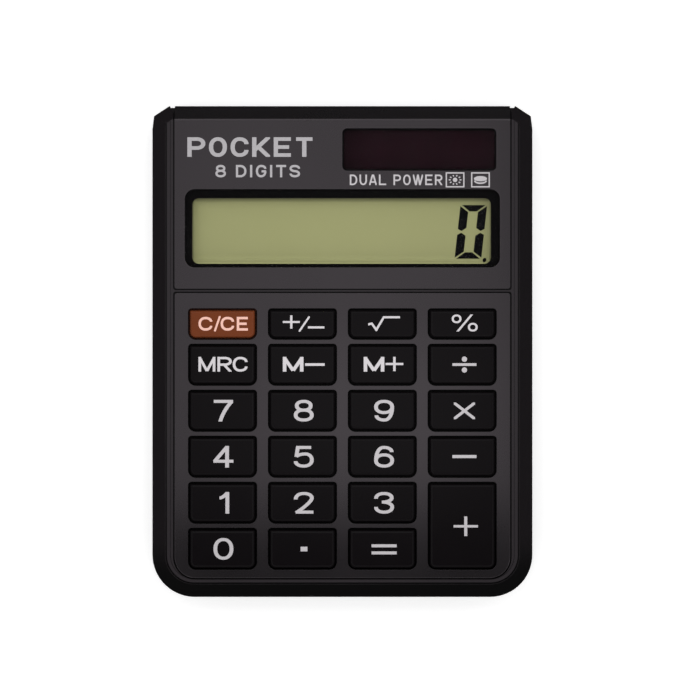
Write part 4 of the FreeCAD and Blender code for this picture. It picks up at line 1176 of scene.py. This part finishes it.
# ------------------------------------------------------------------------------------------- solar cell
@dataclass
class SolarPanel:
    """The solar window, the cell and the foam under it."""

    strips: int = 4
    window_r: float = 0.8
    view_r: float = 0.6
    # Widths of a black band of painted shadow inside the solar window's sides, top and foot, in millimetres.
    mask: tuple[float, float, float] = (0.25, 0.35, 0.12)

    def build(self) -> None:
        """Dresses the three parts and lays a black band of painted shadow along the window's sides, top and
        foot.
        """
        nodes = frame["nodes"]
        low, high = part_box("solar_cell")
        SolarGlass("solar_cell_glass", tone=srgb(27, 10, 17), low=low.x, high=high.x,
                   strips=self.strips).dress(nodes["solar_cell"])
        ClearLens("window_solar", polish=0.05).dress(nodes["solar_window"])
        Foam("pad_foam").dress(nodes["solar_foam_pad"])
        low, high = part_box("solar_window")
        # A black band of painted shadow round the inside of the solar window.
        side, top, foot = (part * MM for part in self.mask)
        window_mask_and_shadow_band("solar_window", self.window_r, (low + high).xy / 2 + Vector((0.0, (foot - top) / 2)),
                    (high - low).xy - Vector((2 * side, top + foot)), self.view_r)


# ------------------------------------------------------------------------------------------- keypad
def digit(glyph: str, width: float = 3.75) -> tuple[Mark, ...]:
    """A digit's legend."""
    return (Mark(glyph, 0.0, 0.03, width, 4.08, 0.57, 1.25),)


@dataclass
class Keypad:
    """The caps and their legends, the silicone sheet with its domes, the pills and the printed contacts."""

    legend_dx: tuple[float, float] = (0.18, 0.4)
    outer_column: float = 0.63
    divide_dots: tuple[float, float] = (-0.98, 1.06)
    divide_dot_r: float = 0.5
    dome_r: float = 3.2
    dome_top_r: float = 2.3
    dome_wall: float = 0.4
    dome_edge: float = 0.35
    sheet_t: float = 0.7
    pill_r: float = 1.5
    pill_edge: float = 0.08
    steps: int = 32
    legends: dict[str, tuple[Mark, ...]] = field(default_factory=lambda: {
        "key_clear": (Mark("C", -3.4, 0.05, 2.6, 2.6, 0.46), Mark("/", -1.15, 0.05, 1.25, 2.9, 0.38),
                      Mark("C", 0.75, 0.05, 2.55, 2.6, 0.46), Mark("E", 3.6, 0.05, 2.15, 2.6, 0.46)),
        "key_sign": (Mark("+", -2.35, 0.38, 3.2, 2.5, 0.37, 1.15), Mark("/", 0.1, 0.0, 2.1, 2.9, 0.36),
                     Mark("-", 2.35, -0.64, 3.1, 0.4, 0.4)),
        "key_root": (Mark("root", 0.0, 0.05, 6.0, 2.85, 0.4),),
        "key_percent": (Mark("%", 0.05, 0.19, 4.9, 3.2, 0.35, 1.15),),
        "key_memory_recall": (Mark("M", -3.11, 0.1, 3.2, 2.78, 0.44, 1.15),
                              Mark("R", 0.22, 0.1, 2.7, 2.78, 0.44, 1.15),
                              Mark("C", 3.16, 0.1, 2.8, 2.78, 0.44, 1.15)),
        "key_memory_minus": (Mark("M", -2.0, 0.1, 3.9, 2.78, 0.56, 1.2),
                             Mark("-", 2.1, 0.04, 3.7, 0.48, 0.48)),
        "key_memory_plus": (Mark("M", -1.9, 0.1, 3.9, 2.78, 0.56, 1.2),
                            Mark("+", 1.95, 0.15, 3.35, 2.7, 0.42, 1.1)),
        "key_divide": (Mark("-", 0.0, 0.04, 4.55, 0.5, 0.5),),
        "key_7": digit("7"), "key_8": digit("8"), "key_9": digit("9"),
        "key_multiply": (Mark("x", 0.0, 0.0, 4.0, 3.15, 0.5, 1.15),),
        "key_4": digit("4", 3.85), "key_5": digit("5"), "key_6": digit("6"),
        "key_minus": (Mark("-", 0.0, 0.07, 4.55, 0.58, 0.58),),
        "key_1": digit("1", 2.2), "key_2": digit("2"), "key_3": digit("3"),
        "key_plus": (Mark("+", 0.25, -0.05, 4.6, 3.7, 0.46, 1.25),),
        "key_0": digit("0"),
        "key_point": (Mark("-", 0.05, 0.0, 1.3, 0.88, 0.87),),
        "key_equals": (Mark("=", 0.0, -0.06, 4.75, 1.9, 0.56),),
    })

    def build(self) -> None:
        """Every key, then the sheet under them and the contacts."""
        nodes = frame["nodes"]
        CARBON.dress(nodes["key_contacts"], nodes["carbon_pills"])
        silicone = Silicone("keypad_silicone")
        silicone.dress(nodes["rubber_keypad"])
        for name in self.legends:
            self.cap(name)
            self.dome(name, silicone)
            self.pill(name)
        self.sheet(silicone)

    def cap(self, name: str) -> None:
        """Dresses a cap and prints its legend, which stands further right on the columns further right.

        Args:
            name: The key's node.
        """
        finish = KEY_ORANGE if name == "key_clear" else KEY_BLACK
        finish.dress(frame["nodes"][name])
        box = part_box(name)
        middle = centre_of(box)
        left_dx, right_dx = self.legend_dx
        across = (middle.x / CAD_BOX[1].x + self.outer_column) / (2 * self.outer_column)
        shift = left_dx + (right_dx - left_dx) * across
        pen = Pen(Vector((middle.x + shift * MM, middle.y, box[1].z)))
        for mark in self.legends[name]:
            pen.mark(mark)
        if name == "key_divide":
            for dy in self.divide_dots:
                pen.disc(0.0, dy, self.divide_dot_r)
        pen.finish("legend_" + name.removeprefix("key_"), self.ink_of(name), name,
                   "key_orange" if name == "key_clear" else "key_black")

    @staticmethod
    def ink_of(name: str) -> Ink:
        """Blush on the orange key, white on the upper function keys and grey elsewhere.

        Args:
            name: The key's node.

        Returns:
            The ink.
        """
        if name == "key_clear":
            return Ink.BLUSH
        upper = name in ("key_sign", "key_root", "key_percent") or name.startswith("key_memory")
        return Ink.WHITE if upper else Ink.GREY

    def levels(self) -> tuple[float, float, float]:
        """The sheet's top, the pills' underside and the domes' top, in metres."""
        sheet_low, sheet_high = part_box("rubber_keypad")
        return sheet_low.z + self.sheet_t * MM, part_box("carbon_pills")[0].z, sheet_high.z

    def dome(self, key: str, finish: Finish) -> None:
        """One hollow dome, spun round its axis.

        Args:
            key: The key's node.
            finish: The silicone.
        """
        sheet_z, pill_z, top_z = self.levels()
        roof_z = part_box("carbon_pills")[1].z
        middle = centre_of(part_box(key))
        edge = self.dome_edge * MM
        r0, r1, wall = self.dome_r * MM, self.dome_top_r * MM, self.dome_wall * MM
        inner = r1 - wall + (r0 - r1) * (top_z - roof_z) / (top_z - sheet_z)
        profile = [(0.0, top_z), (r1 - edge, top_z), (r1, top_z - edge), (r0, sheet_z), (r0 - wall, sheet_z),
                   (inner, roof_z), (0.0, roof_z)]
        bm = bmesh.new()
        verts = [bm.verts.new((middle.x + r, middle.y, z)) for r, z in profile]
        edges = [bm.edges.new(pair) for pair in zip(verts, verts[1:])]
        bmesh.ops.spin(bm, geom=verts + edges, cent=(middle.x, middle.y, 0.0), axis=(0, 0, 1),
                       angle=math.tau, steps=self.steps, use_merge=True)
        bmesh.ops.remove_doubles(bm, verts=bm.verts, dist=WELD)
        bmesh.ops.recalc_face_normals(bm, faces=bm.faces)
        piece = make_piece("dome_" + key.removeprefix("key_"), bm, finish, BODY, smooth=True)
        travel = self.travel(key)
        1 - travel / (top_z - sheet_z)
        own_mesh(piece)
        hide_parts("rubber_keypad")

    @staticmethod
    def travel(key: str) -> float:
        """How far a key goes down, in metres."""
        return next(joint["range_m"][1] for joint in frame["joints"] if joint["child"] == key)

    def pill(self, key: str) -> None:
        """The pill under a dome's roof, which goes down with the key.

        Args:
            key: The key's node.
        """
        low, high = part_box("carbon_pills")
        middle = centre_of(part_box(key))
        bm = bmesh.new()
        bmesh.ops.create_cone(bm, cap_ends=True, segments=self.steps, radius1=self.pill_r * MM,
                              radius2=self.pill_r * MM, depth=high.z - low.z,
                              matrix=Matrix.Translation((middle.x, middle.y, (low.z + high.z) / 2)))
        rims = [edge for edge in bm.edges if len(edge.link_faces) == 2 and edge.calc_face_angle() > 1.0]
        bmesh.ops.bevel(bm, geom=rims, offset=self.pill_edge * MM, offset_type="OFFSET", segments=2,
                        profile=0.5, affect="EDGES", material=-1)
        piece = make_piece("pill_" + key.removeprefix("key_"), bm, CARBON, key)
        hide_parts("carbon_pills")

    def sheet(self, finish: Finish) -> None:
        """The flat sheet: the solid cut off just below its top face and closed again.

        Args:
            finish: The silicone.
        """
        cut_z = self.levels()[0] - 10 * WELD
        bm = bmesh.new()
        bm.from_mesh(frame["nodes"]["rubber_keypad"].data)
        bmesh.ops.remove_doubles(bm, verts=bm.verts, dist=2 * WELD)
        bmesh.ops.bisect_plane(bm, geom=bm.verts[:] + bm.edges[:] + bm.faces[:], plane_co=(0, 0, cut_z),
                               plane_no=(0, 0, 1), clear_outer=True)
        rim = [edge for edge in bm.edges if edge.is_boundary]
        bmesh.ops.triangle_fill(bm, use_beauty=True, use_dissolve=True, edges=rim, normal=(0, 0, 1))
        bmesh.ops.recalc_face_normals(bm, faces=bm.faces)
        piece = make_piece("keypad_sheet", bm, finish, BODY)
        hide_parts("rubber_keypad")


# ------------------------------------------------------------------------------------------- works
@dataclass
class Works:
    """The board with what is on it, the button cell with its contacts, the wires and the solder."""

    finishes: dict[str, Finish] = field(default_factory=lambda: {
        "main_board": Laminate("board_laminate"),
        "chip_blob": EPOXY,
        "smd_parts": CERAMIC,
        "battery_cell": CELL_METAL,
        "battery_contact_negative": CONTACT_METAL,
        "battery_contact_positive": CONTACT_METAL,
        "solder_joints": SOLDER,
        "battery_wire_red": WIRE_RED,
        "battery_wire_black": WIRE_BLACK,
        "solar_wire_red": WIRE_RED,
        "solar_wire_black": WIRE_BLACK,
    })

    def build(self) -> None:
        """Dresses each part."""
        for name, finish in self.finishes.items():
            finish.dress(frame["nodes"][name])
            log.info("part %s dressed in %s", name, finish.name)


# ------------------------------------------------------------------------------------------- studio
@dataclass
class Panel:
    """One soft light panel, aimed at the calculator."""

    name: str
    place: tuple[float, float, float]
    size: tuple[float, float]
    power: float
    target: tuple[float, float, float]


@dataclass
class Studio:
    """A pale floor, soft light and a camera straight above the face."""

    camera_height: float = 1.5
    view_width: float = 132.62 * MM
    focus_z: float = 7.4 * MM
    aim: tuple[float, float] = (1.44 * MM, 0.29 * MM)
    sensor: float = 36.0
    surround: float = 1.5
    cap_light: float = 0.04
    below_light: float = 0.05
    cap: tuple[float, float] = (0.80, 0.94)
    horizon: tuple[float, float] = (0.12, 0.42)
    table_light: float = 0.5
    panels: tuple[Panel, ...] = (
        Panel("overhead", (-0.0035, 0.018, 0.072), (0.083, 0.10), 0.0196, (-0.0035, 0.018, 0.0)),
        Panel("sheen", (0.008, -0.013, 0.074), (0.045, 0.030), 0.0015, (0.008, -0.013, 0.0)),
    )

    def build(self) -> None:
        """Floor, world, lights and camera."""
        self.floor()
        self.world()
        for panel in self.panels:
            self.light(panel)
        self.camera()

    def floor(self) -> None:
        """A large pale table, lit from below, that doesn't show in the gloss."""
        bm = bmesh.new()
        bmesh.ops.create_grid(bm, x_segments=1, y_segments=1, size=3.0)
        mesh = bpy.data.meshes.new("floor")
        bm.to_mesh(mesh)
        bm.free()
        floor = bpy.data.objects.new("floor", mesh)
        bpy.context.scene.collection.objects.link(floor)
        shader = Shader("floor_pale")
        shader.set(Base_Color=shader.shade((0.86, 0.86, 0.86), shader.noise(0.3), 0.01), Roughness=0.9,
                   Specular_IOR_Level=0.1, Emission_Color=(1.0, 1.0, 1.0), Emission_Strength=self.table_light)
        mesh.materials.append(shader.material)
        floor.visible_glossy = False

    def world(self) -> None:
        """A bright band of surround, a dark cap overhead, a dark horizon and a faint light below."""
        world = bpy.data.worlds.new("surround")
        world.use_nodes = True
        nodes = Nodes(world.node_tree)
        height = nodes.part(nodes.node("ShaderNodeTexCoord").outputs["Generated"], "Z")
        band = (1.0 - height.smooth(*self.cap)) * height.smooth(*self.horizon)
        below = (1.0 - height.smooth(-0.35, -0.1)) * self.below_light
        sky = nodes.node("ShaderNodeBackground",
                         inputs={"Strength": band * self.surround + below + self.cap_light})
        nodes.node("ShaderNodeOutputWorld", inputs={"Surface": sky.outputs[0]})
        bpy.context.scene.world = world
        bpy.context.scene.view_settings.view_transform = "Standard"

    @staticmethod
    def light(panel: Panel) -> None:
        """Adds one soft panel.

        Args:
            panel: Its name, place, size, power and aim.
        """
        data = bpy.data.lights.new(panel.name, "AREA")
        data.shape = "RECTANGLE"
        data.size, data.size_y = panel.size
        data.energy = panel.power
        lamp = bpy.data.objects.new(panel.name, data)
        place, target = Vector(panel.place), Vector(panel.target)
        turn = (place - target).to_track_quat("Z", "Y").to_matrix().to_4x4()
        lamp.matrix_world = Matrix.Translation(place) @ turn
        lamp.visible_camera = False
        bpy.context.scene.collection.objects.link(lamp)

    def camera(self) -> None:
        """A long lens straight above, the face a little off the middle of the view."""
        data = bpy.data.cameras.new("camera")
        data.sensor_width = self.sensor
        data.lens = self.sensor * (self.camera_height - self.focus_z) / self.view_width
        data.clip_start, data.clip_end = 0.01, 10.0
        camera = bpy.data.objects.new("camera", data)
        camera.location = (*self.aim, self.camera_height)
        bpy.context.scene.collection.objects.link(camera)
        bpy.context.scene.camera = camera


def main() -> None:
    """Builds the sub-assemblies in order, then the studio."""
    logging.basicConfig(level=logging.INFO, format="%(name)s: %(message)s")
    assemblies: list[Callable[[], Any]] = [Casing, Display, SolarPanel, Keypad, Works, Studio]
    for assembly in assemblies:
        log.info("building %s", assembly.__name__)
        assembly().build()


if __name__ == "__main__":
    main()
